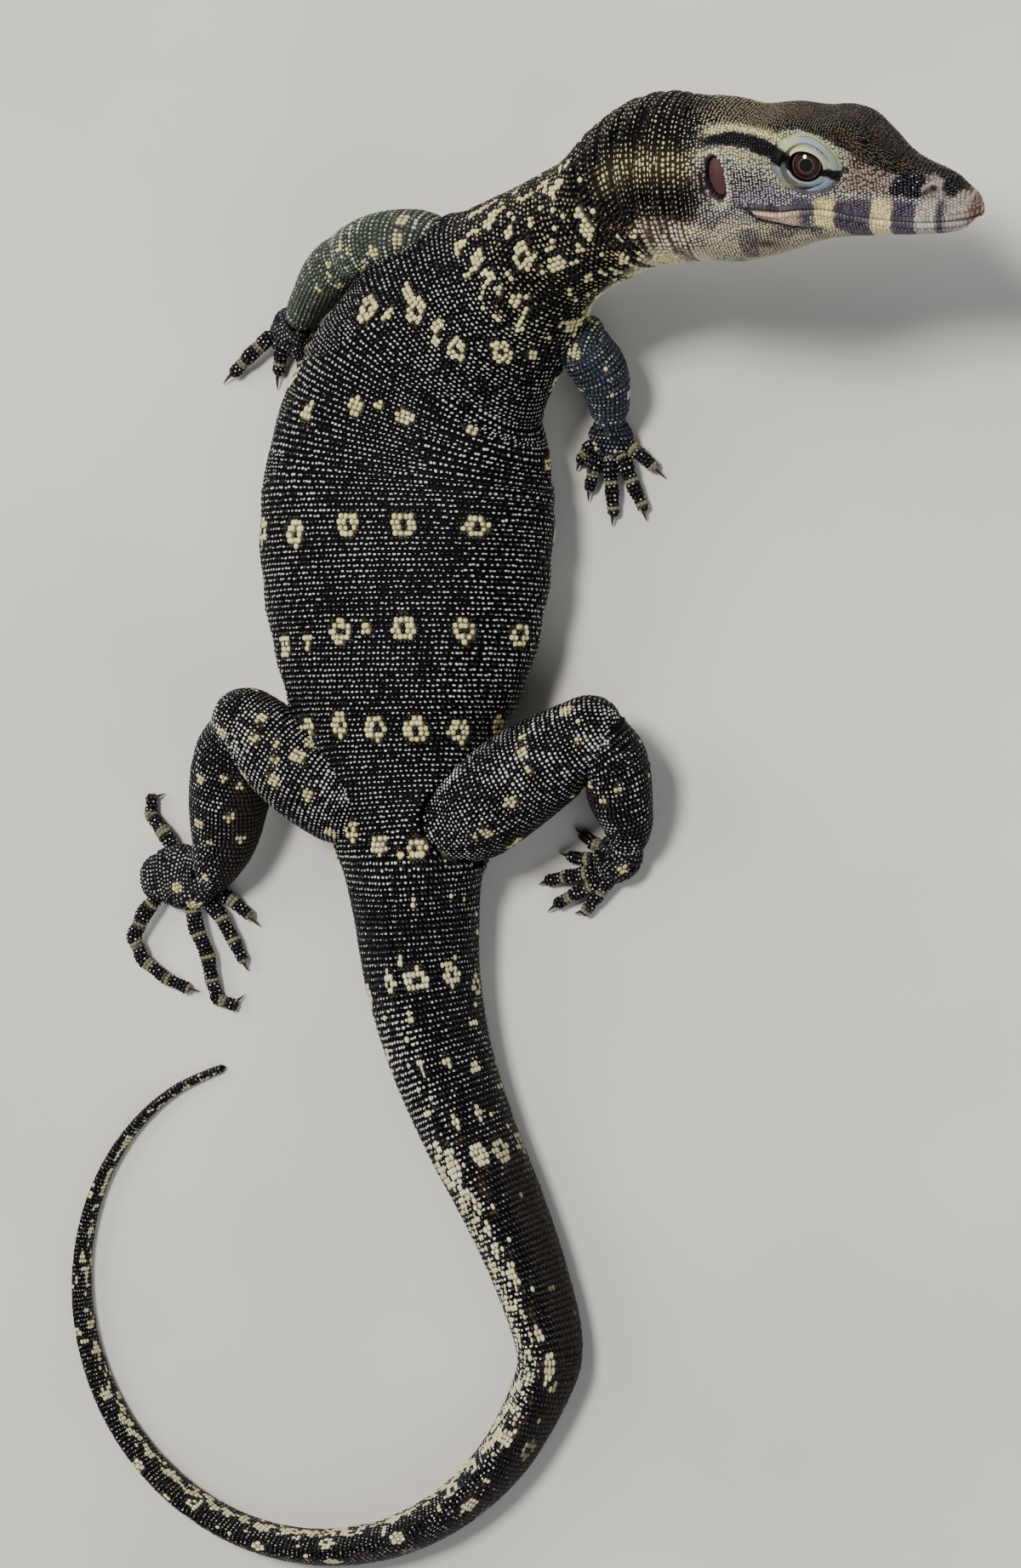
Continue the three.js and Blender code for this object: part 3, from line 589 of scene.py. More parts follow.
class Tube:
    """Skin of a limb length, palm or toe through rows of x, y, z, half width, half thickness. Its
    start and end are domes, of a height given as a share of the half width there."""

    power = 2.1  # squareness of its section
    dome_share = 0.999  # how far a dome closes

    def __init__(self, name, rows, coat, start_dome=0.0, end_dome=1.0):
        self.name = name
        self.rows = np.array([[*r, r[3]] if len(r) == 4 else r for r in rows], float)
        self.coat = coat
        self.t = np.linspace(0, len(self.rows) - 1, 400)
        steps = np.linalg.norm(np.diff(rows_at(self.rows, self.t)[:, :3], axis=0), axis=1)
        self.along = np.concatenate([[0], np.cumsum(steps)])
        self.length = self.along[-1]
        self.reach = end_dome * (self.rows[-1][3] - coat)
        self.back_reach = start_dome * (self.rows[0][3] - coat)
        self.start = -self.back_reach * np.pi / 2 * self.dome_share
        self.end = self.length + self.reach * np.pi / 2 * self.dome_share

    def at(self, s, v):
        s, v = np.broadcast_arrays(np.asarray(s, float), np.asarray(v, float))
        shape = s.shape
        s, v = s.ravel(), v.ravel()
        t = np.interp(s, self.along, self.t)
        row = rows_at(self.rows, t)
        along = unit(rows_at(self.rows, t + 0.02)[:, :3] - rows_at(self.rows, t - 0.02)[:, :3])
        right = unit(np.cross(along, np.array([0, 0, 1.0])))
        up = np.cross(right, along)
        past = np.maximum(s - self.length, 0) / max(self.reach, 1e-6)
        before = np.maximum(-s, 0) / max(self.back_reach, 1e-6)
        broad, thick = row[:, 3] - self.coat, row[:, 4] - self.coat
        side, rise = section_point(v * np.pi / 2, broad, thick, thick, self.power, self.power)
        shrink = np.cos(past) * np.cos(before)
        side, rise = side * shrink, rise * shrink
        further = self.reach * np.sin(past) - self.back_reach * np.sin(before)
        centre = row[:, :3] + along * further[:, None]
        out = centre + right * side[:, None] + up * rise[:, None]
        out[:, 2] = np.maximum(out[:, 2], SKIN_LOW)
        return out.reshape(*shape, 3)


def toe_rows(places, radius):
    """Rows of one toe, with its knuckles swelling a little between the named places."""
    bones = places[:-1]
    last = len(bones) - 1
    rows = []
    for i in range(2 * last + 1):
        a, b = bones[i // 2], bones[min(i // 2 + 1, last)]
        share = (i % 2) / 2
        place = [a[k] + (b[k] - a[k]) * share for k in range(3)]
        thick = radius * (1.1 - 0.34 * i / (2 * last)) * (0.93 if i % 2 else 1.04)
        rows.append([*place, thick, thick * 0.92])
    return rows


body = Body()
surfaces = {"body": body}
neighbours = {"body": []}
for limb, (upper_rows, lower_rows) in LIMBS.items():
    upper, lower, palm = (f"{limb}_{part}" for part in ("upper", "lower", "palm"))
    surfaces[upper] = Tube(upper, upper_rows, COAT)
    surfaces[lower] = Tube(lower, lower_rows, COAT, start_dome=0.6, end_dome=0.6)
    surfaces[palm] = Tube(palm, FEET[limb]["palm"], 0.25)
    neighbours["body"].append((upper, 5.0))
    neighbours[upper] = [("body", 5.0), (lower, 3.0)]
    neighbours[lower] = [(upper, 3.0), (palm, 3.0), ("body", 2.0)]
    neighbours[palm] = [(lower, 3.0)]
    for number, places in enumerate(FEET[limb]["toes"], 1):
        toe = f"{limb}_toe_{number}"
        surfaces[toe] = Tube(toe, toe_rows(places, FEET[limb]["toe"]), 0.2)
        neighbours[palm].append((toe, 1.2))
        neighbours[toe] = [(palm, 1.2), (lower, 1.0)]


# Joining of neighbouring skins


def grid_faces(across, along):
    """Quads of a grid of points, one row of points after another."""
    k = np.arange(across * along).reshape(along, across)
    return np.stack([k[:-1, :-1], k[:-1, 1:], k[1:, 1:], k[1:, :-1]], -1).reshape(-1, 4)


def tree_of(surface):
    steps = 360 if surface is body else 60
    around = 96 if surface is body else 28
    s = np.linspace(surface.start, surface.end, steps)
    points = surface.at(s[:, None], np.linspace(-2, 2, around)[None, :]).reshape(-1, 3)
    faces = grid_faces(around, steps).tolist()
    first, last = len(points), len(points) - around
    for k in range(around - 1):
        faces.append([k + 1, k, first])
        faces.append([last + k, last + k + 1, first + 1])
    points = np.concatenate([points, points[:around].mean(0)[None], points[last:].mean(0)[None]])
    tree = BVHTree.FromPolygons(points.tolist(), faces)
    return tree, points.min(0) - 3, points.max(0) + 3


trees = {name: tree_of(surface) for name, surface in surfaces.items()}


FAR_AWAY = 99.0


def distance_to(name, points):
    """Signed distance of points to a skin, positive outside. Points well away get a large value."""
    tree, low, high = trees[name]
    out = np.full(len(points), FAR_AWAY)
    for i in np.nonzero(((points > low) & (points < high)).all(1))[0]:
        place, normal, _, gap = tree.find_nearest(points[i])
        if place is not None:
            out[i] = math.copysign(gap, (Vector(points[i]) - place).dot(normal) * SIGN[name])
    return out


def facing(name):
    """1 where a skin's quads face outwards, -1 where they face inwards."""
    surface = surfaces[name]
    middle = (surface.start + surface.end) / 2
    ring = surface.at(middle, np.linspace(-2, 2, 9)[:-1])
    centre = ring.mean(0)
    _, normal, _, _ = trees[name][0].find_nearest(ring[3])
    return math.copysign(1, (Vector(ring[3]) - Vector(centre)).dot(normal))


SIGN = {name: facing(name) for name in surfaces}


def skin_points(surface, s, v):
    """Skin points, their outward normals and along-directions, filled out where two skins meet."""
    s, v = (np.ravel(a).astype(float) for a in np.broadcast_arrays(s, v))
    ds, dv = 0.12, 0.012
    low, high = np.maximum(s - ds, surface.start), np.minimum(s + ds, surface.end)
    along = unit(surface.at(high, v) - surface.at(low, v))
    across = unit(surface.at(s, v + dv) - surface.at(s, v - dv))
    normal = unit(np.cross(along, across))
    points = surface.at(s, v)
    grow = np.zeros(len(s))
    buried = np.full(len(s), FAR_AWAY)
    for other, radius in neighbours[surface.name]:
        gap = distance_to(other, points)
        buried = np.minimum(buried, gap)
        lift = np.maximum(0, radius - np.abs(gap)) ** 2 / (4 * radius)
        grow = np.maximum(grow, lift * (1 - smooth(-gap, 0, 0.9)))
    points = points + normal * grow[:, None]
    points[:, 2] = np.maximum(points[:, 2], JOINED_LOW)
    return points, normal, along, buried


def outward(surface):
    """1 where along x across points outwards."""
    middle = (surface.start + surface.end) / 2
    ring = surface.at(middle, np.linspace(-2, 2, 9)[:-1])
    p, q = surface.at(middle + 0.1, 0.5), surface.at(middle, 0.52)
    here = surface.at(middle, 0.5)
    return math.copysign(1, np.dot(np.cross(p - here, q - here), here - ring.mean(0)))


# Mesh code


def select_only(obj):
    bpy.ops.object.select_all(action="DESELECT")
    obj.select_set(True)
    bpy.context.view_layer.objects.active = obj


def sleeve(name, across, along, place):
    """Grid whose points are placed by their shares across and along."""
    bpy.ops.object.select_all(action="DESELECT")
    bpy.ops.mesh.primitive_grid_add(x_subdivisions=across, y_subdivisions=along, size=1)
    obj = bpy.context.object
    obj.name = obj.data.name = name
    co = np.empty(len(obj.data.vertices) * 3)
    obj.data.vertices.foreach_get("co", co)
    shares = co.reshape(-1, 3)[:, :2] + 0.5
    points = place(shares[:, 0], shares[:, 1])
    obj.data.vertices.foreach_set("co", (points * MM).ravel())
    return obj


def close_up(obj, fill_ends):
    """Welds the seam of a grid, closes its ends and turns its faces outwards."""
    select_only(obj)
    bpy.ops.object.mode_set(mode="EDIT")
    bpy.ops.mesh.select_all(action="SELECT")
    bpy.ops.mesh.remove_doubles(threshold=WELD)
    bpy.ops.mesh.select_all(action="DESELECT")
    bpy.ops.mesh.select_mode(type="EDGE")
    bpy.ops.mesh.select_non_manifold(use_multi_face=False, use_non_contiguous=False, use_verts=False)
    fill_ends()
    bpy.ops.mesh.select_all(action="SELECT")
    bpy.ops.mesh.normals_make_consistent(inside=False)
    bpy.ops.object.mode_set(mode="OBJECT")


def join_pieces(parts, name):
    bpy.ops.object.select_all(action="DESELECT")
    for part in parts:
        part.select_set(True)
    bpy.context.view_layer.objects.active = parts[0]
    bpy.ops.object.join()
    whole = bpy.context.object
    whole.name = whole.data.name = name
    return whole


def finish_piece(obj, material, nodes=()):
    """Smooths a piece, gives it its material and hands it to the frame."""
    select_only(obj)
    bpy.ops.object.shade_smooth()
    obj.data.materials.clear()
    obj.data.materials.append(material)
    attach(obj, "root")
    if nodes:
        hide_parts(*nodes)
    return obj


def weld(obj, flip):
    """Joins the seam of a grid and turns its faces over where they look inwards."""
    select_only(obj)
    bpy.ops.object.mode_set(mode="EDIT")
    bpy.ops.mesh.select_all(action="SELECT")
    bpy.ops.mesh.remove_doubles(threshold=WELD)
    if flip:
        bpy.ops.mesh.flip_normals()
    bpy.ops.object.mode_set(mode="OBJECT")


def set_colours(obj, name, colours):
    layer = obj.data.color_attributes.new(name, "FLOAT_COLOR", "POINT")
    data = np.ones((len(obj.data.vertices), 4), np.float32)
    data[:, : colours.shape[1]] = colours
    layer.data.foreach_set("color", data.ravel())


# Markings


def srgb(r, g, b):
    """Linear colour of a screen colour given from 0 to 255."""
    c = np.array([r, g, b]) / 255
    return np.where(c < 0.04045, c / 12.92, ((c + 0.055) / 1.055) ** 2.4)


INK = srgb(11, 10, 15)
BROWN_BLACK = srgb(25, 21, 19)
CREAM = srgb(224, 214, 160)
PEARL = srgb(222, 222, 212)
GOLDEN = srgb(206, 192, 140)
BELLY = srgb(214, 206, 168)
CHEEK = srgb(104, 97, 100)
CHEEK_LIGHT = srgb(196, 188, 180)
LIP_LIGHT = srgb(222, 206, 150)
LIP_PALE = srgb(182, 174, 160)
LIP_DARK = srgb(70, 64, 74)
SNOUT = srgb(168, 156, 144)
THROAT = srgb(150, 142, 124)
STRIPE = srgb(10, 9, 15)
TEMPLE = srgb(196, 194, 150)

# Spots of pale scales on the neck, trunk and tail: distance along the body, sideways from the spine to
# the right, half length, half width and the radius of the dark middle
SPOTS = [
    [22.5, 17, 2.2, 2, 0.6], [27.5, 17, 1.4, 1.2, 0], [34.5, 15.5, 2.4, 1.5, 0], [40.5, 9.5, 2.7, 2.7, 0.9],
    [41.5, 3.5, 1.1, 1.6, 0], [46.5, -3.5, 1.6, 2.2, 0], [47.5, 14, 1.9, 1.2, 0], [49.5, 7, 1.7, 1.1, 0],
    [49.5, 10, 1.3, 1.2, 0], [51, 2, 1.9, 1.9, 0], [54.5, -5, 1.5, 1.4, 0], [57, 23, 1.5, 1.5, 0],
    [60, 17, 2.6, 2.6, 0.9], [67.5, 2.5, 1.7, 1.3, 0], [67.5, 8.5, 2.6, 2.4, 0.9], [69, -8.5, 1.2, 2, 0],
    [69.5, -4, 2.8, 2.8, 0.9], [70, 3.5, 1.2, 1, 0], [75, -9.5, 1.8, 0.9, 0], [77.5, -15, 2.6, 2.6, 0.5],
    [86, 17.5, 1.7, 1.7, 0], [90, -2, 1.3, 1.1, 0], [90, 4, 2, 2.2, 0.5], [92, -7, 2, 1.9, 0],
    [96, -19, 1.9, 1.6, 0], [115.5, 21.5, 2.7, 3, 0.8], [115.5, -5, 2.6, 2.5, 0.8],
    [115.5, 7, 2.8, 2.9, 1.1], [117, -18.5, 2.6, 2.6, 0.8], [136, -1, 1.6, 1.2, 0], [136, 7, 2.7, 2.7, 0.9],
    [136.5, -7, 2.6, 2.6, 0.9], [136.5, 19, 2.4, 2.6, 0.8], [138.5, -15.5, 1.8, 1.2, 0],
    [139, -23, 2.4, 2.4, 0.8], [154.5, -8.5, 2.6, 2, 0.6], [155.5, 0, 2.6, 2.5, 0.9],
    [156, 8.5, 2.8, 2.7, 0.9], [156.5, 17, 2.5, 2.5, 0.8], [175.5, -7.5, 2.6, 1.7, 0.5],
    [178.5, -1.5, 2.2, 1.9, 0], [179.5, 6.5, 2.2, 2.1, 0.5], [179.5, 12.5, 1.9, 1.9, 0.5],
    [180.5, 3, 1, 0.7, 0], [202.5, 1, 1.8, 0.6, 0], [206.5, -2.5, 2.8, 1.6, 0.5], [206.5, 4, 2.5, 2.6, 0.8],
    [207, 11.5, 2.4, 2.3, 0.8], [208.5, -11.5, 3.2, 1.8, 0], [210, 18.5, 2.3, 2.3, 0.9],
    [214.5, 1, 2, 0.5, 0], [220, -10, 1.6, 0.9, 0], [224.5, 6, 1.4, 0.9, 0], [225, 0, 2.4, 0.8, 0],
    [227, -12, 1.6, 1.1, 0], [228, 11, 1.6, 1.3, 0], [237, 3, 1.9, 0.8, 0], [237, 8, 1.8, 0.7, 0],
    [244.5, -1.5, 4.2, 1.2, 0], [245, 4.5, 2.8, 1.8, 0.5], [245.5, -7, 3.4, 1.9, 0],
    [246, 16.5, 2.6, 2, 0.8], [246, 9.5, 2.8, 2, 0.5], [254, -1, 1.6, 0.8, 0], [258.5, -0.5, 2, 0.8, 0],
    [263.5, -1, 1.4, 1, 0], [269, 1, 2.6, 1.1, 0], [281.5, 2, 1.6, 0.8, 0], [288, 3.5, 3, 1.1, 0],
    [291.5, 5.5, 1.4, 1, 0],
]
# Cross rows of spots go on round the flanks: distance along, the first place on the left and on the right
FLANK_ROWS = [
    [66, -26, 37], [92, -31, 38], [116, -31, 44], [137, -34, 31], [155.5, -18, 27], [179, -17, 21],
    [208, -19, 26], [246, -14, 23],
]
FLANK_STEP = 11.5
TAIL_BANDS = [305, 322, 339, 356, 373, 390, 406, 422, 438, 453, 468, 482, 495]

# Spots on the limbs: distance along, sideways from the top and radius
LIMB_SPOTS = {
    "hind_right_upper": [
        [23.0, 5.0, 1.5], [15.2, 8.2, 1.6], [13.0, 7.5, 0.9], [30.2, -2.5, 1.3], [40.3, -6.2, 1.8],
        [31.1, -5.3, 1.1], [42.0, -2.1, 0.6], [40.7, 0.9, 1.0], [29.8, 1.4, 0.9],
    ],
    "hind_right_lower": [[11.0, 1.3, 1.2], [8.8, -2.1, 1.0], [7.7, 4.1, 0.9]],
    "hind_left_upper": [
        [38.4, -2.2, 1.5], [32.3, 5.6, 1.6], [30.8, 1.1, 1.3], [27.0, 3.0, 0.9], [21.4, 8.1, 1.8],
        [21.6, 3.6, 2.0], [25.0, 0.0, 1.2], [23.5, -3.6, 1.8], [16.2, -2.1, 1.6], [30.0, -8.3, 1.3],
        [8.8, -8.6, 2.0],
    ],
    "hind_left_lower": [
        [7.5, -2.6, 1.2], [9.7, 2.9, 1.4], [9.0, -6.2, 1.0], [19.8, 2.7, 1.5], [16.3, -4.5, 1.5],
        [21.3, -7.0, 1.5], [23.2, -0.6, 0.9], [32.5, -0.9, 1.3],
    ],
    "hind_left_palm": [[7.2, -2.2, 1.6], [4.4, -6.2, 1.6]],
    "fore_left_upper": [
        [18.5, 0.3, 1.7], [23.8, -2.6, 1.7], [18.7, 4.4, 1.6], [31.9, 0.2, 1.2], [29.5, -1.0, 0.9],
        [27.9, -6.3, 1.5],
    ],
    "fore_left_lower": [[3.2, -1.1, 1.2], [4.7, -2.9, 1.0], [9.1, -2.8, 1.0], [5.2, -6.1, 1.2]],
}


def blend_in(base, colour, share):
    share = np.clip(share, 0, 1)[:, None]
    return base * (1 - share) + colour * share


def uneven(colour, speck, least, more):
    """A colour that varies with a random value from 0 to 1 at each place."""
    return colour * (least + more * speck)[:, None]


# Upper and lower end of the bars on the lips, as distances from the snout tip and heights
BAR_TOP = ([6, 10, 15.6, 21, 25.4, 29, 33], [3.9, 4.4, 5.7, 5.3, 6.3, 6.7, 7.6])
BAR_LOW = ([6, 15, 19.6, 23.8, 27.8, 33], [-4.2, -4.0, -2.0, 0.3, 1.4, 2.3])


def lip_bars(back, lean):
    """Share of dark and of pale at each place along the lips; the bars lean forward as they rise."""
    place = back + 0.16 * lean
    dark, pale = np.zeros(len(back)), np.zeros(len(back))
    for middle, half in [(6.5, 0.75), (12.9, 1.95), (21.4, 3.1), (30.3, 1.7)]:
        dark = np.maximum(dark, 1 - smooth(np.abs(place - middle), half - 0.35, half + 0.35))
    for middle, half in [(9.0, 1.75), (16.6, 1.75), (25.8, 1.9)]:
        pale = np.maximum(pale, 1 - smooth(np.abs(place - middle), half - 0.35, half + 0.35))
    return dark, pale


# Lines on the side of the head, each as distances from the snout tip and heights: the edge of the dark
# crown, the stripe behind the eye with its half width and pale edge, the row of painted highlights on the
# scales over the lips, the pale band under the stripe and a pale streak. Those of the crown and the stripe
# are given by their lift, which goes on rising over the crown.
CROWN_EDGE = np.array([
    [0, 3], [2.3, 2.8], [4, 2.8], [5.6, 4.35], [7.1, 5.4], [9, 5.4], [11.6, 5.3], [13.5, 5.2], [15.5, 5.8],
    [17.8, 6.3], [19.4, 7.6], [21.8, 8.9], [23.6, 9.7], [25.8, 11], [29.6, 12.1], [32.4, 11.9], [34.2, 11.6],
    [37.2, 12.6], [41.4, 13.7], [52, 13.7],
]).T
STRIPE_LINE = ([30.4, 31.3, 33, 35.6, 38.8, 41.6, 44.5, 50], [6.6, 7.1, 7.8, 9.0, 10.2, 10.8, 10.6, 10.2])
STRIPE_HALF = ([30.4, 31.3, 33, 35.6, 38.8, 41.6, 44.5, 50], [0.8, 1.0, 1.35, 1.5, 1.35, 1.4, 1.05, 0.6])
STRIPE_EDGE = (
    [30, 31.5, 33, 35.3, 38.3, 41.2, 43.7, 45.4, 48],
    [9.3, 9.7, 10.5, 11.4, 12.2, 13.0, 13.1, 12.5, 11.8],
)
PAINTED_HIGHLIGHT_ROW = (
    [8, 10.5, 14, 17.6, 20.5, 23.3, 26, 28.4, 31, 33.4],
    [3.6, 4.2, 4.8, 5.8, 6.3, 6.5, 6.6, 6.9, 7.6, 8.6],
)
UNDER_STRIPE = ([36, 39, 41.7, 43.5, 46, 48], [14.4, 15.2, 16.0, 16.2, 15.9, 15.4])
PALE_STREAK = ([30, 34, 38, 42], [10.8, 12.2, 13.4, 14.2])


def near_line(back, high, line, half):
    """1 within about half a width of a line on the side of the head."""
    return bell(high - np.interp(back, *line), half)


class Places:
    """Places on the head in the head's frame, with what the markings are worked out from."""

    def __init__(self, back, side, high, v):
        self.back, self.side, self.high, self.v = back, side, high, v
        self.wide = np.abs(side)
        self.outer = self.wide > 4
        self.rise = high - mouth_height(back)
        self.lift = 0.866 * high - 0.5 * self.wide
        self.speck = cloud(back * 1.5, high * 2.8 + side, 2.2, 1)
        self.patch = cloud(back, high + 3 * (side > 0), 4.0, 2)
        self.fine = rng.random(len(back))


class Paint:
    """Ground colour, dot colour and dot size at a set of places, painted over step by step."""

    def __init__(self, ground, dot, size):
        self.ground, self.dot, self.size = ground, dot, size

    def over(self, colour, share, dots=None, spot=None):
        share = np.clip(share, 0, 1)
        self.ground = blend_in(self.ground, colour, share)
        if dots is not None:
            self.dot = blend_in(self.dot, dots, share)
        if spot is not None:
            self.size = self.size * (1 - share) + spot * share


def paint_cheeks(paint, at):
    """Snout, throat and cheeks."""
    back, high, rise, speck = at.back, at.high, at.rise, at.speck
    # Before the eye the skin is tan and pinkish grey, with brown patches by the brow
    fore = smooth(-back, -24.5, -21) * smooth(back, 13, 15)
    brow_patch = smooth(cloud(back * 1.4, high * 1.4, 2.0, 17), 0.5, 0.65)
    paint.over(uneven(srgb(104, 84, 74), speck, 0.6, 0.6), 0.8 * fore, srgb(156, 138, 124), 0.55)
    paint.over(srgb(78, 54, 40), fore * brow_patch * smooth(high, 9.5, 11), None, 0.45)
    snout = smooth(-back, -17, -5)
    paint.over(uneven(SNOUT, speck, 0.72, 0.22), 0.9 * snout, SNOUT * 0.95, 0.35)
    # Throat and jaw: dense cream scales with grey-violet patches
    under = smooth(-rise, 1.8, 3.4)
    violet = smooth(cloud(back, high, 3.2, 18), 0.52, 0.68)[:, None]
    throat = THROAT * 0.7 * (1 - violet) + srgb(62, 58, 66) * violet
    paint.over(throat, under, BELLY * 0.75 * (1 - 0.5 * violet), 0.6)
    brown = bell(back - 37.2, 2.6) * bell(high + 1.3 - 0.15 * (back - 37), 1.1) * at.outer
    paint.over(srgb(48, 32, 29), 0.9 * brown, srgb(98, 74, 62), 0.4)
    # Dark mottled ground between the eye and the ear, lavender below it
    cheek = span(back, 35, 38, 43.5, 45) * bell(high - 11.5, 2.4)
    paint.over(INK * 1.8, 0.8 * cheek, CHEEK_LIGHT, 0.5)
    lavender = bell(back - 37, 5) * bell(high - 7.9, 1.3) * at.outer
    lavender_ground = uneven(srgb(84, 76, 92), speck, 0.5, 0.6)
    paint.over(lavender_ground, 0.8 * lavender, srgb(156, 148, 164), 0.5)


def paint_eye_surround(paint, at):
    """Pale ground round the eye, the streaks from there to the ear and the rim of the ear."""
    back, high = at.back, at.high
    around = (1 - smooth(ellipse_share(back, high, EYE), 1.9, 2.7)) * (at.wide > 5) * (high > 9)
    paint.over(srgb(120, 124, 92), 0.85 * around, srgb(186, 188, 158), 0.72)
    streak = near_line(back, high, PALE_STREAK, 1.3)
    streak = streak * smooth(back, 30.5, 32) * (1 - smooth(back, 41, 43)) * at.outer
    paint.over(srgb(104, 104, 92), 0.85 * streak, srgb(198, 198, 176), 0.7)
    band = 0.9 * near_line(back, high, UNDER_STRIPE, 0.75) * smooth(back, 35, 38) * (at.wide > 5)
    paint.over(TEMPLE * 0.55, band, TEMPLE * 0.85, 0.7)
    ear_rim = bell(ellipse_share(back, high, EAR) - 1.3, 0.25) * (at.wide > 6)
    ear_rim = ear_rim * smooth(46 - back, -0.5, 1.0)
    paint.over(srgb(140, 136, 116), 0.8 * ear_rim, srgb(200, 198, 176), 0.75)


def paint_crown(paint, at):
    """Dark top of the head, with a ragged edge and brown patches."""
    back, side = at.back, at.side
    ragged = 0.9 * (cloud(back, side, 1.6, 12) - 0.5)
    top = smooth(at.lift - np.interp(back, *CROWN_EDGE) + ragged, -0.35, 0.35)
    rear = smooth(back, 26, 44)
    dots = GOLDEN * (0.2 + 0.36 * rear)[:, None]
    paint.over(uneven(BROWN_BLACK, at.speck, 0.45, 0.9), top, dots, 0.26 + 0.24 * rear)
    brown = smooth(cloud(back * 1.2, side * 1.2, 2.0, 19), 0.6, 0.75)
    paint.over(srgb(62, 44, 30), 0.6 * top * brown * (back < 34))


def paint_stripe(paint, at):
    """Stripe behind the eye with its pale edge, and the dark mark in front of the eye."""
    back, high, lift, fine = at.back, at.high, at.lift, at.fine
    edge = near_line(back, lift, STRIPE_EDGE, 0.75) * smooth(back, 29.5, 31)
    edge = edge * (1 - smooth(back, 46, 48)) * at.outer
    paint.over(srgb(170, 164, 112), edge, srgb(206, 198, 146), 0.8)
    half = np.interp(back, *STRIPE_HALF)
    behind = smooth(back, 30.4, 30.9) * at.outer * (1 - smooth(back, 46, 50))
    from_line = np.abs(lift - np.interp(back, *STRIPE_LINE)) + 0.2 * (fine - 0.5)
    stripe = (1 - smooth(from_line, half - 0.15, half + 0.15)) * behind
    paint.over(STRIPE, stripe, STRIPE * 3, 0.15)
    lower_part = bell(lift - np.interp(back, *STRIPE_LINE) + 0.9, 0.4) * smooth(back, 37, 40) * behind
    paint.over(INK * 2, 0.8 * lower_part, srgb(84, 76, 80), 0.4)
    front = np.hypot((back - 23.4) / 1.9, (high - 11.1 - 0.1 * (back - 23.4)) / 0.85)
    mark = (1 - smooth(front + 0.5 * (fine - 0.5), 0.8, 1.15)) * at.outer
    paint.over(STRIPE, mark, STRIPE * 4, 0.2)


def paint_nose(paint, at):
    """Black blotches before and behind the nostril, the one behind with painted glints."""
    back, high, fine = at.back, at.high, at.fine
    before = np.hypot((back - 4.2) / 1.5, (high - 5.8) / 2.0)
    paint.over(INK, 1 - smooth(before + 0.4 * (fine - 0.5), 0.8, 1.1), PEARL * 0.25, 0.2)
    blotch = bell(back - 11.8, 3.0) * bell(high - 6.6, 3.1)
    blotch = blotch + 0.5 * (cloud(back * 1.3, high * 1.3, 1.7, 13) - 0.5)
    # Painted highlights: a fifth of the scales in the blotch behind the nostril get near-white dots
    glints = blend_in(np.tile(srgb(60, 58, 72), (len(back), 1)), PEARL, 0.8 * (fine > 0.8))
    paint.over(INK, smooth(blotch, 0.36, 0.5) * (back < 20), glints, 0.4)


def paint_lips(paint, at):
    """Barred lips, the tip of the snout and the row of painted highlights on the scales over the lips."""
    back, high, speck = at.back, at.high, at.speck
    dark, pale = lip_bars(back, np.maximum(at.rise, -1.5))
    reach = 1 - smooth(high - np.interp(back, *BAR_TOP) + 0.6 * (speck - 0.5), -0.4, 0.3)
    reach = reach * smooth(high - np.interp(back, *BAR_LOW), -0.4, 0.4) * smooth(back, 4.8, 5.4)
    reach = reach * (1 - smooth(back, 31.5, 35))
    pale_tone = LIP_PALE + (LIP_LIGHT - LIP_PALE) * smooth(back, 11, 15)[:, None]
    paint.over(uneven(pale_tone, speck, 0.8, 0.25), reach * pale, pale_tone, 0)
    paint.over(uneven(LIP_DARK, speck, 0.65, 0.9), reach * dark, LIP_DARK * 2, 0.3)
    low_snout = 0.9 * (1 - smooth(back, 4.2, 5.4)) * (1 - smooth(high, 3.4, 4.6))
    paint.over(SNOUT * 0.95, low_snout, SNOUT, 0)
    tip = 0.7 * (1 - smooth(back, 0.8, 2.6)) * (1 - smooth(high, 2.4, 4.0))
    paint.over(srgb(112, 74, 58), tip, SNOUT, 0.5)
    # Painted highlights: pale pearl dots on a darker ground along a row of scales over the lips
    painted_highlights = 0.8 * near_line(back, high, PAINTED_HIGHLIGHT_ROW, 0.42) * smooth(back, 8, 10) * (back < 34) * at.outer
    paint.over(CHEEK * 0.5, painted_highlights, PEARL * 0.8, 0.7)


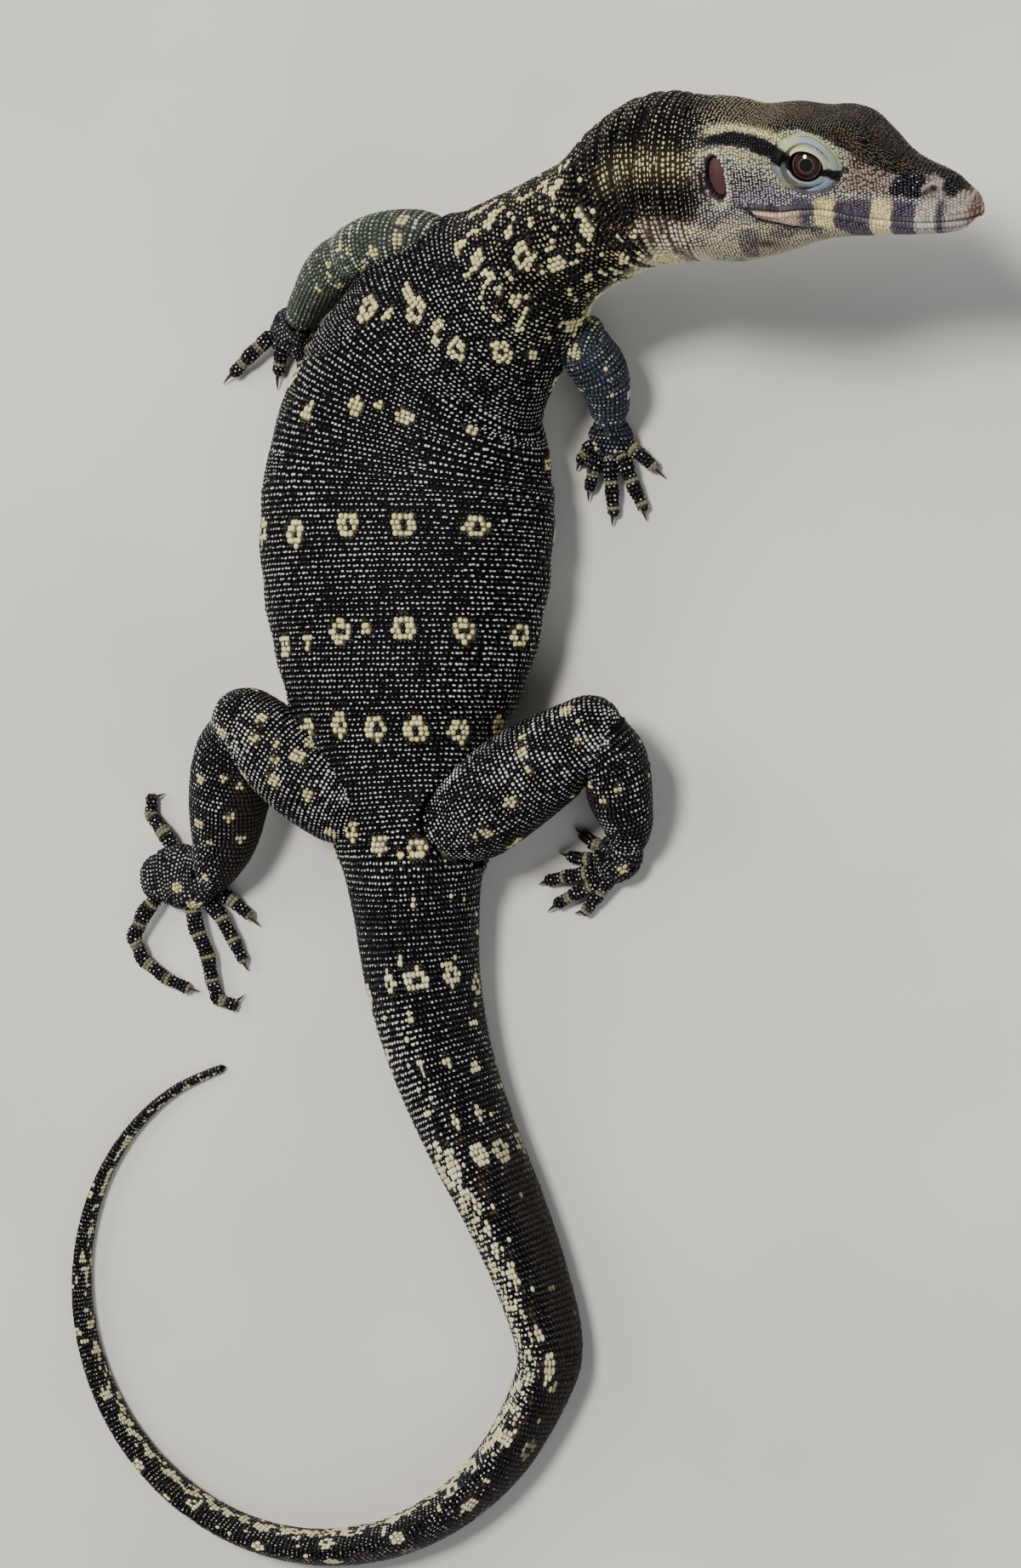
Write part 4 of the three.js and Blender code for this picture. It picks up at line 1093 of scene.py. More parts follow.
def paint_openings(paint, at):
    """The bare fold under the corner of the mouth, and painted shade in the crease under it, in the slit
    behind the ear, inside the ear and the nostril and along the line of the mouth, which is pale from 9 to
    23 mm back.
    """
    back, high, wide = at.back, at.high, at.wide
    over = high - crease_height(back)
    on_fold = span(back, 29.5, 32, 40, 42) * at.outer
    bare = 0.95 * smooth(over, 0.1, 0.5) * (at.rise < -0.1) * on_fold
    paint.over(uneven(srgb(190, 166, 142), at.speck, 0.85, 0.2), bare, CREAM, 0.1)
    # Painted shade in the crease under the fold
    paint.over(srgb(44, 31, 33), 0.9 * bell(over + 0.1, 0.4) * on_fold, srgb(60, 44, 44), 0)
    # Painted shade in the slit behind the ear
    behind_ear = bell(back - slit_back(high) + 0.2, 0.8) * bell(high - 10.8, 3.6) * (wide > 6)
    paint.over(srgb(34, 25, 22), 0.9 * behind_ear, srgb(70, 56, 48), 0.3)
    # Painted shade inside the ear and the nostril
    in_ear = (1 - smooth(ellipse_share(back, high, EAR), 0.95, 1.1)) * (wide > 6)
    paint.over(srgb(40, 24, 28), in_ear, INK, 0)
    in_nostril = (1 - smooth(ellipse_share(back, high, NOSTRIL), 0.8, 1.1)) * (wide > 2)
    paint.over(srgb(50, 30, 28), in_nostril, INK, 0)
    # Painted shade along the line of the mouth, pale along its middle
    pale_line = span(back, 6, 9, 23, 27)
    mouth_seam_colour = blend_in(np.tile(srgb(52, 34, 32), (len(back), 1)), srgb(146, 130, 118), pale_line)
    paint.over(mouth_seam_colour, 0.8 * bell(below_mouth(back, at.v), 0.12) * (back < MOUTH_CORNER), INK, 0)


def head_markings(back, side, high, v):
    """Ground colour, dot colour and dot size on the head."""
    at = Places(back, side, high, v)
    ground = uneven(CHEEK, at.speck, 0.3, 0.5)
    dot = uneven(CHEEK_LIGHT, at.speck, 0.34, 0.56)
    paint = Paint(ground, dot, 0.46 + 0.24 * at.patch + 0.16 * at.fine)
    paint_cheeks(paint, at)
    paint_eye_surround(paint, at)
    paint_crown(paint, at)
    paint_stripe(paint, at)
    paint_nose(paint, at)
    paint_lips(paint, at)
    paint_openings(paint, at)
    return paint.ground, paint.dot, paint.size


SPOT_EDGE = 0.94  # share of a spot's size within which its scales are pale
FULL_DOT = 0.88  # dot size that fills a whole scale


def spot_rows():
    """All spots of the neck, trunk and tail, with those that go on round the flanks and the tail."""
    spots = list(SPOTS)
    for row, left, right in FLANK_ROWS:
        for i in range(4):
            spots.append([row, left - FLANK_STEP * i, 2.5, 2.5, 0.8])
            spots.append([row, right + FLANK_STEP * i, 2.5, 2.5, 0.8])
    for i, row in enumerate(TAIL_BANDS):
        scale = 1 - 0.055 * i
        for k in range(-3, 4):
            place = (k + 0.5 * (i % 2)) * 6.4 * scale
            spots.append([row + (k % 2) - 0.5, place, 2.4 * scale, 1.7 * scale, 0.5 * scale * (k % 2)])
    return spots


def ringed_spots(s, w):
    """Where the scales are pale as spots, and where they are clear of dots inside and round them."""
    full, clear = np.zeros(len(s), bool), np.zeros(len(s), bool)
    for place, off, long, broad, hole in spot_rows():
        far = np.hypot((s - place) / long, (w - off) / broad)
        middle = np.hypot(s - place, w - off) < hole
        full |= (far < SPOT_EDGE) & ~middle
        clear |= middle | ((far >= SPOT_EDGE) & (far < 1.3))
    return full, clear


def body_markings(s, v, w, girth):
    """Ground colour, dot colour and dot size of scales on the neck, trunk and tail."""
    n = len(s)
    speck = cloud(s * 1.7, w * 1.7, 1.9, 3)
    patch = cloud(s, w, 6.0, 4)
    round_by = w / girth
    across = np.abs(w) / girth
    neck = 1 - smooth(s, NECK_S - 30, NECK_S - 4)
    nape = 1 - smooth(s, 10, 34)
    tail = smooth(s, TRUNK_S + 2, TRUNK_S + 14)
    ground = uneven(INK, speck, 0.6, 0.7)
    dot = uneven(blend_in(np.tile(PEARL, (n, 1)), GOLDEN, neck), speck, 0.42, 0.4)
    size = 0.27 + 0.16 * rng.random(n) + 0.14 * (patch - 0.5) - 0.06 * nape
    # Some scales have no dot, most of all on the right of the tail's top
    missing = 0.14 + 0.3 * tail + 0.2 * neck * (1 - nape) + 0.25 * smooth(cloud(s, w, 4.0, 14), 0.55, 0.75)
    # Tail top: bigger, brighter dots left of the keel are painted light; dots dropped right of it are
    # painted shade
    tail_top = span(s, 205, 215, 300, 330)
    beside = smooth(round_by, 0.02, 0.12)
    missing = missing + tail_top * (0.75 * beside * smooth(s, 246, 262) - 0.3 * (1 - beside))
    size = np.where(rng.random(n) < missing, 0.14 * rng.random(n), size * (1 - 0.15 * tail))
    size = size + 0.12 * tail_top * (1 - beside) * (size > 0.14)
    dot = dot * (1 + 0.25 * tail_top * (1 - beside))[:, None]
    # Pale scales: clusters on the neck, ringed spots, specks on the tail, its strip and the flanks
    cluster = cloud(s + 0.3 * w, 1.3 * w, 1.9, 5) + 0.18 * (rng.random(n) - 0.5)
    full = (cluster > 0.80 - 0.04 * neck) & (neck > 0.3) & (s > 16)
    in_spots, clear = ringed_spots(s, w)
    full |= in_spots
    full |= (cloud(s, 1.5 * w, 1.7, 6) > 0.91) & (tail > 0.5)
    strip_place = -0.42 + 0.28 * (1 - smooth(s, 300, 330))
    strip = smooth(s, 228, 246) * bell(round_by - strip_place, 0.2)
    full |= cloud(s, 1.4 * w, 1.3, 7) + 0.3 * (rng.random(n) - 0.5) > 1.25 - 0.78 * strip
    full |= (across > 0.62) & (cloud(s, w, 4.2, 8) > 0.66) & (tail < 0.5)
    # Behind the ear a pale band, black skin with long white dots, then pale folded skin
    near_head = 1 - smooth(s + 0.3 * w, 15, 22)
    band = bell(w - 15.2, 2.8) * near_head
    black = bell(w - 21.4, 2.8) * near_head
    folds = smooth(w, 24, 27) * near_head
    ground = blend_in(ground, srgb(70, 64, 44), 0.8 * band)
    dot = blend_in(dot, CREAM * 0.7, band)
    size = size + (0.56 - size) * band * (speck > 0.3) - 0.1 * black
    ground = blend_in(ground, uneven(srgb(96, 84, 76), speck, 0.5, 1.0), folds)
    dot = blend_in(dot, srgb(190, 178, 156), folds)
    size = size + (0.66 - size) * folds
    folded = smooth(fold_depth(s, v), 0.25, 0.6)
    ground = blend_in(ground, srgb(58, 40, 34), 0.7 * folded * smooth(w, 12, 20) * (s < 30))
    size = size * (1 - 0.75 * folded)
    # Barred belly, the keel's brown patches and painted shade on the right side of the tail
    belly = smooth(across, 0.70, 0.80) * (1 - 0.5 * tail)
    bar = smooth(np.sin(s * 2 * np.pi / 9.5 + 0.6 * cloud(s, w, 6, 9)), 0.5, 0.8)
    ground = blend_in(ground, BELLY * 0.85, belly * (1 - 0.85 * bar))
    keel = bell(round_by - 0.08, 0.03) * smooth(s, TRUNK_S + 50, TRUNK_S + 60)
    ground = blend_in(ground, srgb(76, 56, 40), 0.5 * keel * (cloud(s, w, 2.0, 15) > 0.62))
    pale = blend_in(uneven(CREAM, speck, 0.62, 0.34), PEARL * 0.8, 0.5 * tail * speck)
    full &= folded < 0.6
    # Painted shade: the tail's right side gets a darker ground and dimmer pale scales and dots
    right_side_shade = smooth(round_by, 0.16, 0.3) * smooth(s, TRUNK_S + 50, TRUNK_S + 80)
    ground = blend_in(ground, srgb(34, 28, 24), 0.7 * right_side_shade)
    pale = pale * (1 - 0.8 * right_side_shade)[:, None]
    dot = np.where(full[:, None], pale, dot * (1 - 0.7 * right_side_shade)[:, None])
    size = np.where(clear & ~full, 0.08, size)
    size = np.where(full, FULL_DOT, size * (1 - belly))
    return ground, dot, size


def limb_markings(name, s, w, girth):
    n = len(s)
    seed = list(surfaces).index(name)
    fore, palm = name.startswith("fore"), "palm" in name
    speck = cloud(s * 1.7, w * 1.7 + 40 * seed, 1.9, 10)
    across = np.abs(w) / girth
    ground = uneven(INK, speck, 0.7, 0.7)
    dot = uneven(PEARL, speck, 0.5, 0.4)
    size = np.where(rng.random(n) < 0.2, 0.1, 0.36 + 0.2 * rng.random(n))
    size = size * (0.5 + 0.8 * cloud(s, w, 4.0, 20 + seed)) * (1 - 0.55 * smooth(across, 0.22, 0.5))
    if "lower" in name:
        size = size * 0.8
        size = np.where(rng.random(n) < 0.3, 0.1, size)
    if fore:
        # The right foreleg's darker, bluer tint is painted shade
        tint = srgb(66, 74, 64) if "left" in name else srgb(50, 56, 66)
        ground = blend_in(ground, uneven(tint, speck, 0.6, 0.8), np.full(n, 0.75))
        dot = blend_in(dot, srgb(164, 170, 148), np.full(n, 0.8))
        thin_rows = smooth(np.sin(s * 2 * np.pi / 2.6 + cloud(s, w, 3.0, 25)), 0.1, 0.7)
        size = size * (0.55 + 0.75 * thin_rows)
    if palm:
        tint = srgb(26, 26, 40) if fore else srgb(30, 30, 32)
        ground = blend_in(ground, uneven(tint, speck, 0.6, 0.8), np.full(n, 0.85))
        size = size * 0.7
    if name in ("hind_right_lower", "hind_left_lower"):
        outer = smooth(w * (1 if "right" in name else -1), 2, 6)
        size = size * (1 - 0.7 * outer)
        ground = blend_in(ground, srgb(34, 29, 26), 0.8 * outer)
    full = np.zeros(n, bool)
    for place, off, radius in LIMB_SPOTS.get(name, []):
        full |= np.hypot(s - place, w - off) < 0.78 * radius
    hidden = across > (0.45 if name in LIMB_SPOTS else 0.0)
    full |= (cloud(s, w + 30 * seed, 2.4, 11 + seed) > 0.88) & hidden
    under = smooth(across, 0.66, 0.8)
    ground = blend_in(ground, BELLY * 0.7, 0.75 * under * (cloud(s, w, 3.0, 30 + seed) > 0.45))
    dot = np.where(full[:, None], uneven(CREAM, speck, 0.5, 0.4), dot)
    return ground, dot, np.where(full, FULL_DOT, size * (1 - 0.6 * under))


def toe_markings(s, seed):
    n = len(s)
    light = smooth(np.sin(s * 2 * np.pi / 5.2 + 1.3 * seed), 0.72, 0.9)
    ground = blend_in(np.tile(INK * 1.3, (n, 1)), srgb(150, 146, 118), 0.55 * light)
    size = np.where(rng.random(n) < 0.4, 0.35, 0.1) * (1 - light)
    return ground, np.tile(PEARL, (n, 1)) * 0.8, size


def markings(surface, s, v, w, girth):
    """Ground colour, dot colour and dot size at places of a skin."""
    if surface is not body:
        if "toe" in surface.name:
            return toe_markings(s, list(surfaces).index(surface.name))
        return limb_markings(surface.name, s, w, girth)
    ground, dot, size = body_markings(s, v, w, girth)
    head = s < 0
    if head.any():
        points = body.at(s[head], v[head]) - SNOUT_TIP
        back, side, high = -points @ NOSE, points @ HEAD_RIGHT, points @ HEAD_UP
        on_face, face_dot, face_size = head_markings(back, side, high, v[head])
        mix = smooth(s[head] + 2.5 * (cloud(s[head], w[head], 2.5, 16) - 0.5), -6, -1)
        ground[head] = on_face * (1 - mix[:, None]) + ground[head] * mix[:, None]
        dot[head] = face_dot * (1 - mix[:, None]) + dot[head] * mix[:, None]
        size[head] = face_size * (1 - mix) + size[head] * mix
    return ground, dot, size


def girths(surface, s, v):
    """Arc from the top midline to each place, signed, and the half girth there."""
    key, back = np.unique(np.round(s, 2), return_inverse=True)
    steps = 40
    ring = surface.at(key[:, None], np.linspace(0, 2, steps + 1)[None, :])
    lengths = np.linalg.norm(np.diff(ring, axis=1), axis=2)
    arc = np.concatenate([np.zeros((len(key), 1)), np.cumsum(lengths, axis=1)], 1)
    wrapped = ((v + 2) % 4) - 2
    place = np.abs(wrapped) / 2 * steps
    i = np.clip(place.astype(int), 0, steps - 1)
    w = arc[back, i] + (place - i) * (arc[back, i + 1] - arc[back, i])
    return w * np.sign(wrapped), arc[back, -1]


# Materials


class Look:
    """A material: its shader and the nodes that feed it."""

    def __init__(self, name, roughness=0.5, specular=0.5, coat=0.0):
        self.material = bpy.data.materials.new(name)
        self.material.use_nodes = True
        self.nodes, self.links = self.material.node_tree.nodes, self.material.node_tree.links
        self.shader = self.nodes["Principled BSDF"]
        self.set("Roughness", roughness)
        self.set("Specular IOR Level", specular)
        self.set("Coat Weight", coat)

    def set(self, name, value):
        """Gives an input of the shader a value or another node's output."""
        self.feed(value, self.shader.inputs[name])

    def feed(self, value, socket):
        if isinstance(value, (int, float, tuple)):
            socket.default_value = value
        else:
            self.links.new(value, socket)

    def noise(self, scale):
        place = self.nodes.new("ShaderNodeTexCoord")
        texture = self.nodes.new("ShaderNodeTexNoise")
        texture.inputs["Scale"].default_value = scale
        texture.inputs["Detail"].default_value = 3.0
        self.links.new(place.outputs["Object"], texture.inputs["Vector"])
        return texture.outputs["Fac"]

    def attribute(self, name):
        node = self.nodes.new("ShaderNodeAttribute")
        node.attribute_name = name
        return node.outputs

    def maths(self, operation, a, b, clamp=False):
        node = self.nodes.new("ShaderNodeMath")
        node.operation = operation
        node.use_clamp = clamp
        self.feed(a, node.inputs[0])
        self.feed(b, node.inputs[1])
        return node.outputs[0]

    def mix(self, kind, share, a, b):
        node = self.nodes.new("ShaderNodeMix")
        node.data_type = "RGBA"
        node.blend_type = kind
        self.feed(share, node.inputs[0])
        self.feed(a, node.inputs[6])
        self.feed(b, node.inputs[7])
        return node.outputs[2]

    def bump(self, height, strength, distance):
        bump = self.nodes.new("ShaderNodeBump")
        bump.inputs["Strength"].default_value = strength
        bump.inputs["Distance"].default_value = distance
        self.links.new(height, bump.inputs["Height"])
        self.set("Normal", bump.outputs["Normal"])

    def uneven_gloss(self, grain, low, high):
        spread = self.nodes.new("ShaderNodeMapRange")
        spread.inputs["To Min"].default_value = low
        spread.inputs["To Max"].default_value = high
        self.links.new(grain, spread.inputs["Value"])
        self.set("Roughness", spread.outputs["Result"])


def scale_material(name, low, high, specular):
    """Each scale has its ground colour and a pale dot of its own size in the middle, with painted shade that
    makes it lighter in the middle and darker towards its rim.
    """
    look = Look(name, specular=specular)
    tone, dot, rim = look.attribute("tone"), look.attribute("dot"), look.attribute("rim")
    edge = look.maths("SUBTRACT", rim["Fac"], dot["Alpha"])
    edge = look.maths("MULTIPLY", edge, 7.0)
    edge = look.maths("ADD", edge, 0.5, clamp=True)
    colour = look.mix("MIX", edge, dot["Color"], tone["Color"])
    # Painted shade: each scale is lighter in its middle and darker towards its rim
    shade = look.maths("MULTIPLY", rim["Fac"], 0.35)
    shade = look.maths("SUBTRACT", 1.12, shade)
    grain = look.noise(1400.0)
    grey = look.nodes.new("ShaderNodeCombineColor")
    for socket in grey.inputs:
        look.feed(shade, socket)
    look.set("Base Color", look.mix("MULTIPLY", 1.0, colour, grey.outputs["Color"]))
    look.uneven_gloss(grain, low, high)
    look.bump(grain, 0.25, 0.00005)
    return look.material


def skin_material():
    """Skin between the scales: the same markings, darkened to 0.42 as painted shade in the gaps between the
    scales.
    """
    look = Look("bare_skin", specular=0.08)
    tone = look.attribute("tone")["Color"]
    grain = look.noise(900.0)
    # Painted shade: the skin between the scales is darkened to 0.42 of the markings
    look.set("Base Color", look.mix("MULTIPLY", 1.0, tone, (0.42, 0.4, 0.42, 1)))
    look.uneven_gloss(grain, 0.55, 0.75)
    look.bump(grain, 0.4, 0.0001)
    return look.material


def plain_material(name, colour, low, high, scale, depth, coat=0.0):
    """One colour with fine grain, soft mottling and uneven gloss."""
    look = Look(name, coat=coat)
    grain = look.noise(scale)
    mottle = look.noise(scale / 6)
    dark = tuple(float(c) * 0.6 for c in colour) + (1,)
    light = tuple(float(c) for c in colour) + (1,)
    look.set("Base Color", look.mix("MIX", mottle, dark, light))
    look.uneven_gloss(grain, low, high)
    look.bump(grain, 0.3, depth)
    return look.material


# Rings of the eye by distance from the middle of the pupil: black pupil, thin gold ring, dark red-brown
# iris and a tan edge
EYE_RINGS = [
    (0.0, (2, 2, 2)), (0.312, (2, 2, 2)), (0.322, (128, 104, 84)), (0.34, (52, 28, 24)),
    (0.44, (38, 18, 17)), (0.6, (24, 12, 12)), (0.645, (110, 84, 72)), (0.69, (52, 36, 32)),
    (0.74, (18, 12, 13)), (0.9, (8, 7, 8)),
]


def eye_material():
    """Wet eye with coloured rings."""
    look = Look("wet_eye", roughness=0.06, coat=1.0)
    look.set("Coat Roughness", 0.02)
    ring = look.attribute("ring")
    streaks = look.noise(2600.0)
    jitter = look.maths("MULTIPLY", streaks, 0.03)
    place = look.maths("ADD", ring["Fac"], jitter)
    ramp = look.nodes.new("ShaderNodeValToRGB")
    elements = ramp.color_ramp.elements
    while len(elements) < len(EYE_RINGS):
        elements.new(0.5)
    for element, (position, colour) in zip(elements, EYE_RINGS):
        element.position = position
        element.color = (*srgb(*colour), 1)
    look.feed(place, ramp.inputs["Fac"])
    look.set("Base Color", ramp.outputs["Color"])
    return look.material


SCALY = scale_material("scaly_skin", 0.34, 0.5, 0.14)
SCALY_FACE = scale_material("scaly_face", 0.18, 0.32, 0.3)
SKIN = skin_material()
CLAW = plain_material("dark_claw", srgb(42, 34, 30), 0.2, 0.35, 1500, 0.00003, coat=0.3)
DRUM = plain_material("ear_drum", srgb(78, 48, 50), 0.25, 0.4, 700, 0.00008, coat=0.15)
EYES = eye_material()
FLOOR = plain_material("pale_floor", srgb(214, 211, 204), 0.75, 0.9, 60, 0.0004)


# Skin: one sleeve for the body and each limb length, palm and toe, joined into one piece

HEAD_STEP, NECK_STEP, TAIL_STEP = 0.42, 1.25, 2.4
SNOUT_STEPS = np.array([0, 0.12, 0.3, 0.55, 0.85, 1.2])
TIP_STEPS = np.array([0.75, 0.5, 0.3, 0.15, 0.05, 0.0])


def body_stations():
    snout = -HEAD_LENGTH + SNOUT_STEPS
    head = np.arange(-HEAD_LENGTH + 1.6, 0, HEAD_STEP)
    neck = np.arange(0, TRUNK_S, NECK_STEP)
    tail = np.linspace(TRUNK_S, BODY_LENGTH - TAIL_TIP, int((BODY_LENGTH - TRUNK_S) / TAIL_STEP))
    return np.concatenate([snout, head, neck, tail, BODY_LENGTH - TAIL_TIP * TIP_STEPS])


def body_ring():
    """Places round the body, closer together at the line of the mouth and the keel."""
    half = np.linspace(0, 2, 65)
    extra = np.array([0.94, 0.96, 0.975, 0.985, 0.995, 1.005, 1.015, 1.025, 1.04, 1.06])
    half = np.unique(np.concatenate([half[np.abs(half - 1) > 0.065], extra, [0.05, 0.085, 0.11]]))
    return np.concatenate([-half[:0:-1], half])


def paint_skin(surface, s, v):
    """Ground colour of the skin, with some of the pale colour where whole scales are pale."""
    w, girth = girths(surface, s, v)
    ground, dot, size = markings(surface, s, v, w, girth)
    return blend_in(ground, dot, 0.4 * smooth(size, 0.6, 0.95))


def skin_sleeve(surface, stations, ring):
    record = {}

    def place(x, y):
        s = np.interp(y * (len(stations) - 1), np.arange(len(stations)), stations)
        v = np.interp(x * (len(ring) - 1), np.arange(len(ring)), ring)
        record["tone"] = paint_skin(surface, s, v)
        return skin_points(surface, s, v)[0]

    obj = sleeve(f"skin_{surface.name}", len(ring) - 1, len(stations) - 1, place)
    set_colours(obj, "tone", record["tone"])
    close_up(obj, bpy.ops.mesh.fill)
    return obj


def make_skin():
    parts = [skin_sleeve(body, body_stations(), body_ring())]
    for name, surface in surfaces.items():
        if surface is body:
            continue
        step = 0.7 if "toe" in name else 1.1
        around = 15 if "toe" in name else 37
        steps = max(4, int((surface.end - surface.start) / step))
        stations = np.linspace(surface.start, surface.end, steps)
        parts.append(skin_sleeve(surface, stations, np.linspace(-2, 2, around)))
    skin = join_pieces(parts, "skin")
    nodes = [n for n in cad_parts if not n.startswith("eye_")]
    return finish_piece(skin, SKIN, nodes)


# Eyes, lids and ear drums


def make_eye(sign, name):
    bpy.ops.object.select_all(action="DESELECT")
    bpy.ops.mesh.primitive_uv_sphere_add(segments=56, ring_count=36, radius=1)
    obj = bpy.context.object
    obj.name = obj.data.name = name
    co = np.array([v.co for v in obj.data.vertices])
    ring = np.arccos(np.clip(co[:, 2], -1, 1))
    bulge = 1 + 0.035 * bell(ring, 0.55)
    centre = on_head(BALL["back"], sign * BALL["side"], BALL["high"])
    axis = unit(HEAD_RIGHT * sign + NOSE * 0.12 + HEAD_UP * 0.11)
    first = unit(np.cross(axis, HEAD_UP))
    second = np.cross(axis, first)
    basis = np.stack([first, second, axis])
    points = centre + (co * (bulge * EYEBALL)[:, None]) @ basis
    obj.data.vertices.foreach_set("co", (points * MM).ravel())
    layer = obj.data.attributes.new("ring", "FLOAT", "POINT")
    layer.data.foreach_set("value", ring.astype(np.float32))
    if np.linalg.det(basis) < 0:
        obj.data.flip_normals()
    return finish_piece(obj, EYES, ["eye_right" if sign > 0 else "eye_left"])


def lid_material():
    look = Look("eyelid", specular=0.22)
    tone = look.attribute("tone")
    grain = look.noise(1300.0)
    look.set("Base Color", tone["Color"])
    look.uneven_gloss(grain, 0.3, 0.48)
    look.bump(grain, 0.4, 0.00008)
    return look.material


LIDS = lid_material()


def near_head_tree():
    s = np.linspace(-43, -14, 90)
    points = body.at(s[:, None], np.linspace(-1.1, 1.1, 200)[None, :]).reshape(-1, 3)
    return BVHTree.FromPolygons(points.tolist(), grid_faces(200, 90).tolist())


HEAD_TREE = near_head_tree()


def cheek_cast(sign, back, high):
    """Sideways place of the finished head skin, seen from the side."""
    starts = on_head(back, sign * 30, high)
    out = cheek_side(back, high)
    for i, start in enumerate(starts):
        place = HEAD_TREE.ray_cast(Vector(start), Vector(-sign * HEAD_RIGHT), 40)[0]
        if place is not None:
            out[i] = sign * np.dot(np.array(place) - SNOUT_TIP, HEAD_RIGHT)
    return out


def crescent(angle):
    """1 where the shiny fold lies above and before the eye. It fades out behind and in front."""
    return smooth(np.sin(angle - 0.42), 0.25, 0.7)


def opening_place(opening, angle, share):
    """Place round an opening of the head by angle and by share of the opening's half size."""
    lean = math.radians(opening["lean"])
    x, y = opening["long"] * share * np.cos(angle), opening["tall"] * share * np.sin(angle)
    back = opening["back"] + x * math.cos(lean) - y * math.sin(lean)
    high = opening["high"] + x * math.sin(lean) + y * math.cos(lean)
    return back, high


LID_RIBS = 62  # radians of rib wave per radian round the eye


def lid_points(sign, angle, share, sunk=True):
    """Places of the lids round an eye, by angle from its rear corner over the top."""
    back, high = opening_place(EYE, angle, share)
    ball, far = ball_side(back, high)
    blend = smooth(far, EYEBALL - 0.3, EYEBALL + 0.25)
    side = ball * (1 - blend) + cheek_cast(sign, back, high) * blend + 0.28
    upper = smooth(np.sin(angle), -0.25, 0.2)
    lower = 1 - upper
    rib = np.sin(LID_RIBS * angle)
    side = side + 0.16 * bell(share - 1.08, 0.09) - 1.3 * (1 - smooth(share, 0.93, 1.0))
    side = side - 0.16 * bell(share - 1.32, 0.07) * upper
    side = side + crescent(angle) * (0.4 * bell(share - 1.56, 0.15) - 0.12 * bell(share - 1.8, 0.05))
    side = side + lower * (0.07 * rib * bell(share - 1.22, 0.17) + 0.2 * bell(share - 1.22, 0.2))
    side = side - 0.16 * lower * bell(share - 1.41, 0.05) + 0.12 * lower * bell(share - 1.57, 0.12)
    side = side + 0.05 * rib * upper * bell(share - 1.14, 0.08) * smooth(angle, 1.0, 1.6)
    if sunk:
        side = side - 0.7 * smooth(share, 1.93, 2.08)
    return back, side, high


def lid_colours(angle, share, back, side, high):
    colour = head_markings(back, side, high, np.full(len(back), 0.5))[0]
    upper = smooth(np.sin(angle), -0.25, 0.2)
    lower = 1 - upper
    front = smooth(-np.cos(angle), -0.2, 0.6)
    ribs = 0.5 + 0.5 * np.sin(LID_RIBS * angle)
    rim = blend_in(np.tile(srgb(180, 184, 136), (len(back), 1)), srgb(186, 192, 180), front)
    # Painted shade between the ribs of the upper rim, towards the front
    rim = rim * (1 - 0.35 * front * (1 - ribs))[:, None]
    # Painted shade in the groove over the upper lid
    groove = 0.85 * bell(share - 1.34, 0.07) * upper * smooth(np.sin(angle), 0.3, 0.7)
    fold = crescent(angle)
    band = fold * (1 - smooth(np.abs(share - 1.57), 0.11, 0.17))
    ribbed = lower * (1 - smooth(share, 1.38, 1.44))
    below = lower * (1 - smooth(np.abs(share - 1.57), 0.15, 0.2))
    degrees = np.degrees(np.arctan2(np.sin(angle), np.cos(angle)))
    low_edge = np.interp(share, [1.0, 1.2, 1.6, 2.0], [-44, -38, -28, -20])
    rear = smooth(degrees, low_edge - 4, low_edge + 4) * (1 - smooth(degrees, 10, 17))
    nose_side = smooth(np.abs(degrees), 163, 170)
    for over, part in (
        (srgb(164, 168, 136), 0.9 * upper * (1 - smooth(share, 1.85, 2.05))),
        (rim, upper * (1 - smooth(share, 1.13, 1.2))),
        (srgb(92, 86, 94), groove),
        (srgb(122, 134, 158), band),
        (srgb(128, 144, 134), band * smooth(-np.cos(angle), 0.45, 0.75)),
        # painted shade along the dip at the outer edge of the fold
        (srgb(48, 46, 52), 0.75 * fold * bell(share - 1.8, 0.05)),
        (srgb(176, 184, 186), 0.95 * ribbed),
        # painted shade between the ribs of the lower lid
        (srgb(104, 112, 120), 0.75 * ribbed * (1 - ribs)),
        (srgb(112, 123, 144), 0.9 * below),
        (STRIPE, np.maximum(rear, nose_side) * (share < 2.2)),
        (srgb(14, 10, 12), 1 - smooth(share, 1.0, 1.07)),
    ):
        colour = blend_in(colour, over, part)
    return colour


def make_lids(sign, name):
    """Skin round the eye opening: its rim, the ribbed lower lid and the fold over the upper one."""
    record = {}

    def place(x, y):
        angle, share = x * 2 * np.pi, 0.93 + 1.15 * y
        back, side, high = lid_points(sign, angle, share)
        record["tone"] = lid_colours(angle, share, back, side, high)
        return on_head(back, sign * side, high)

    obj = sleeve(name, 232, 40, place)
    set_colours(obj, "tone", record["tone"])
    weld(obj, sign < 0)
    return finish_piece(obj, LIDS)


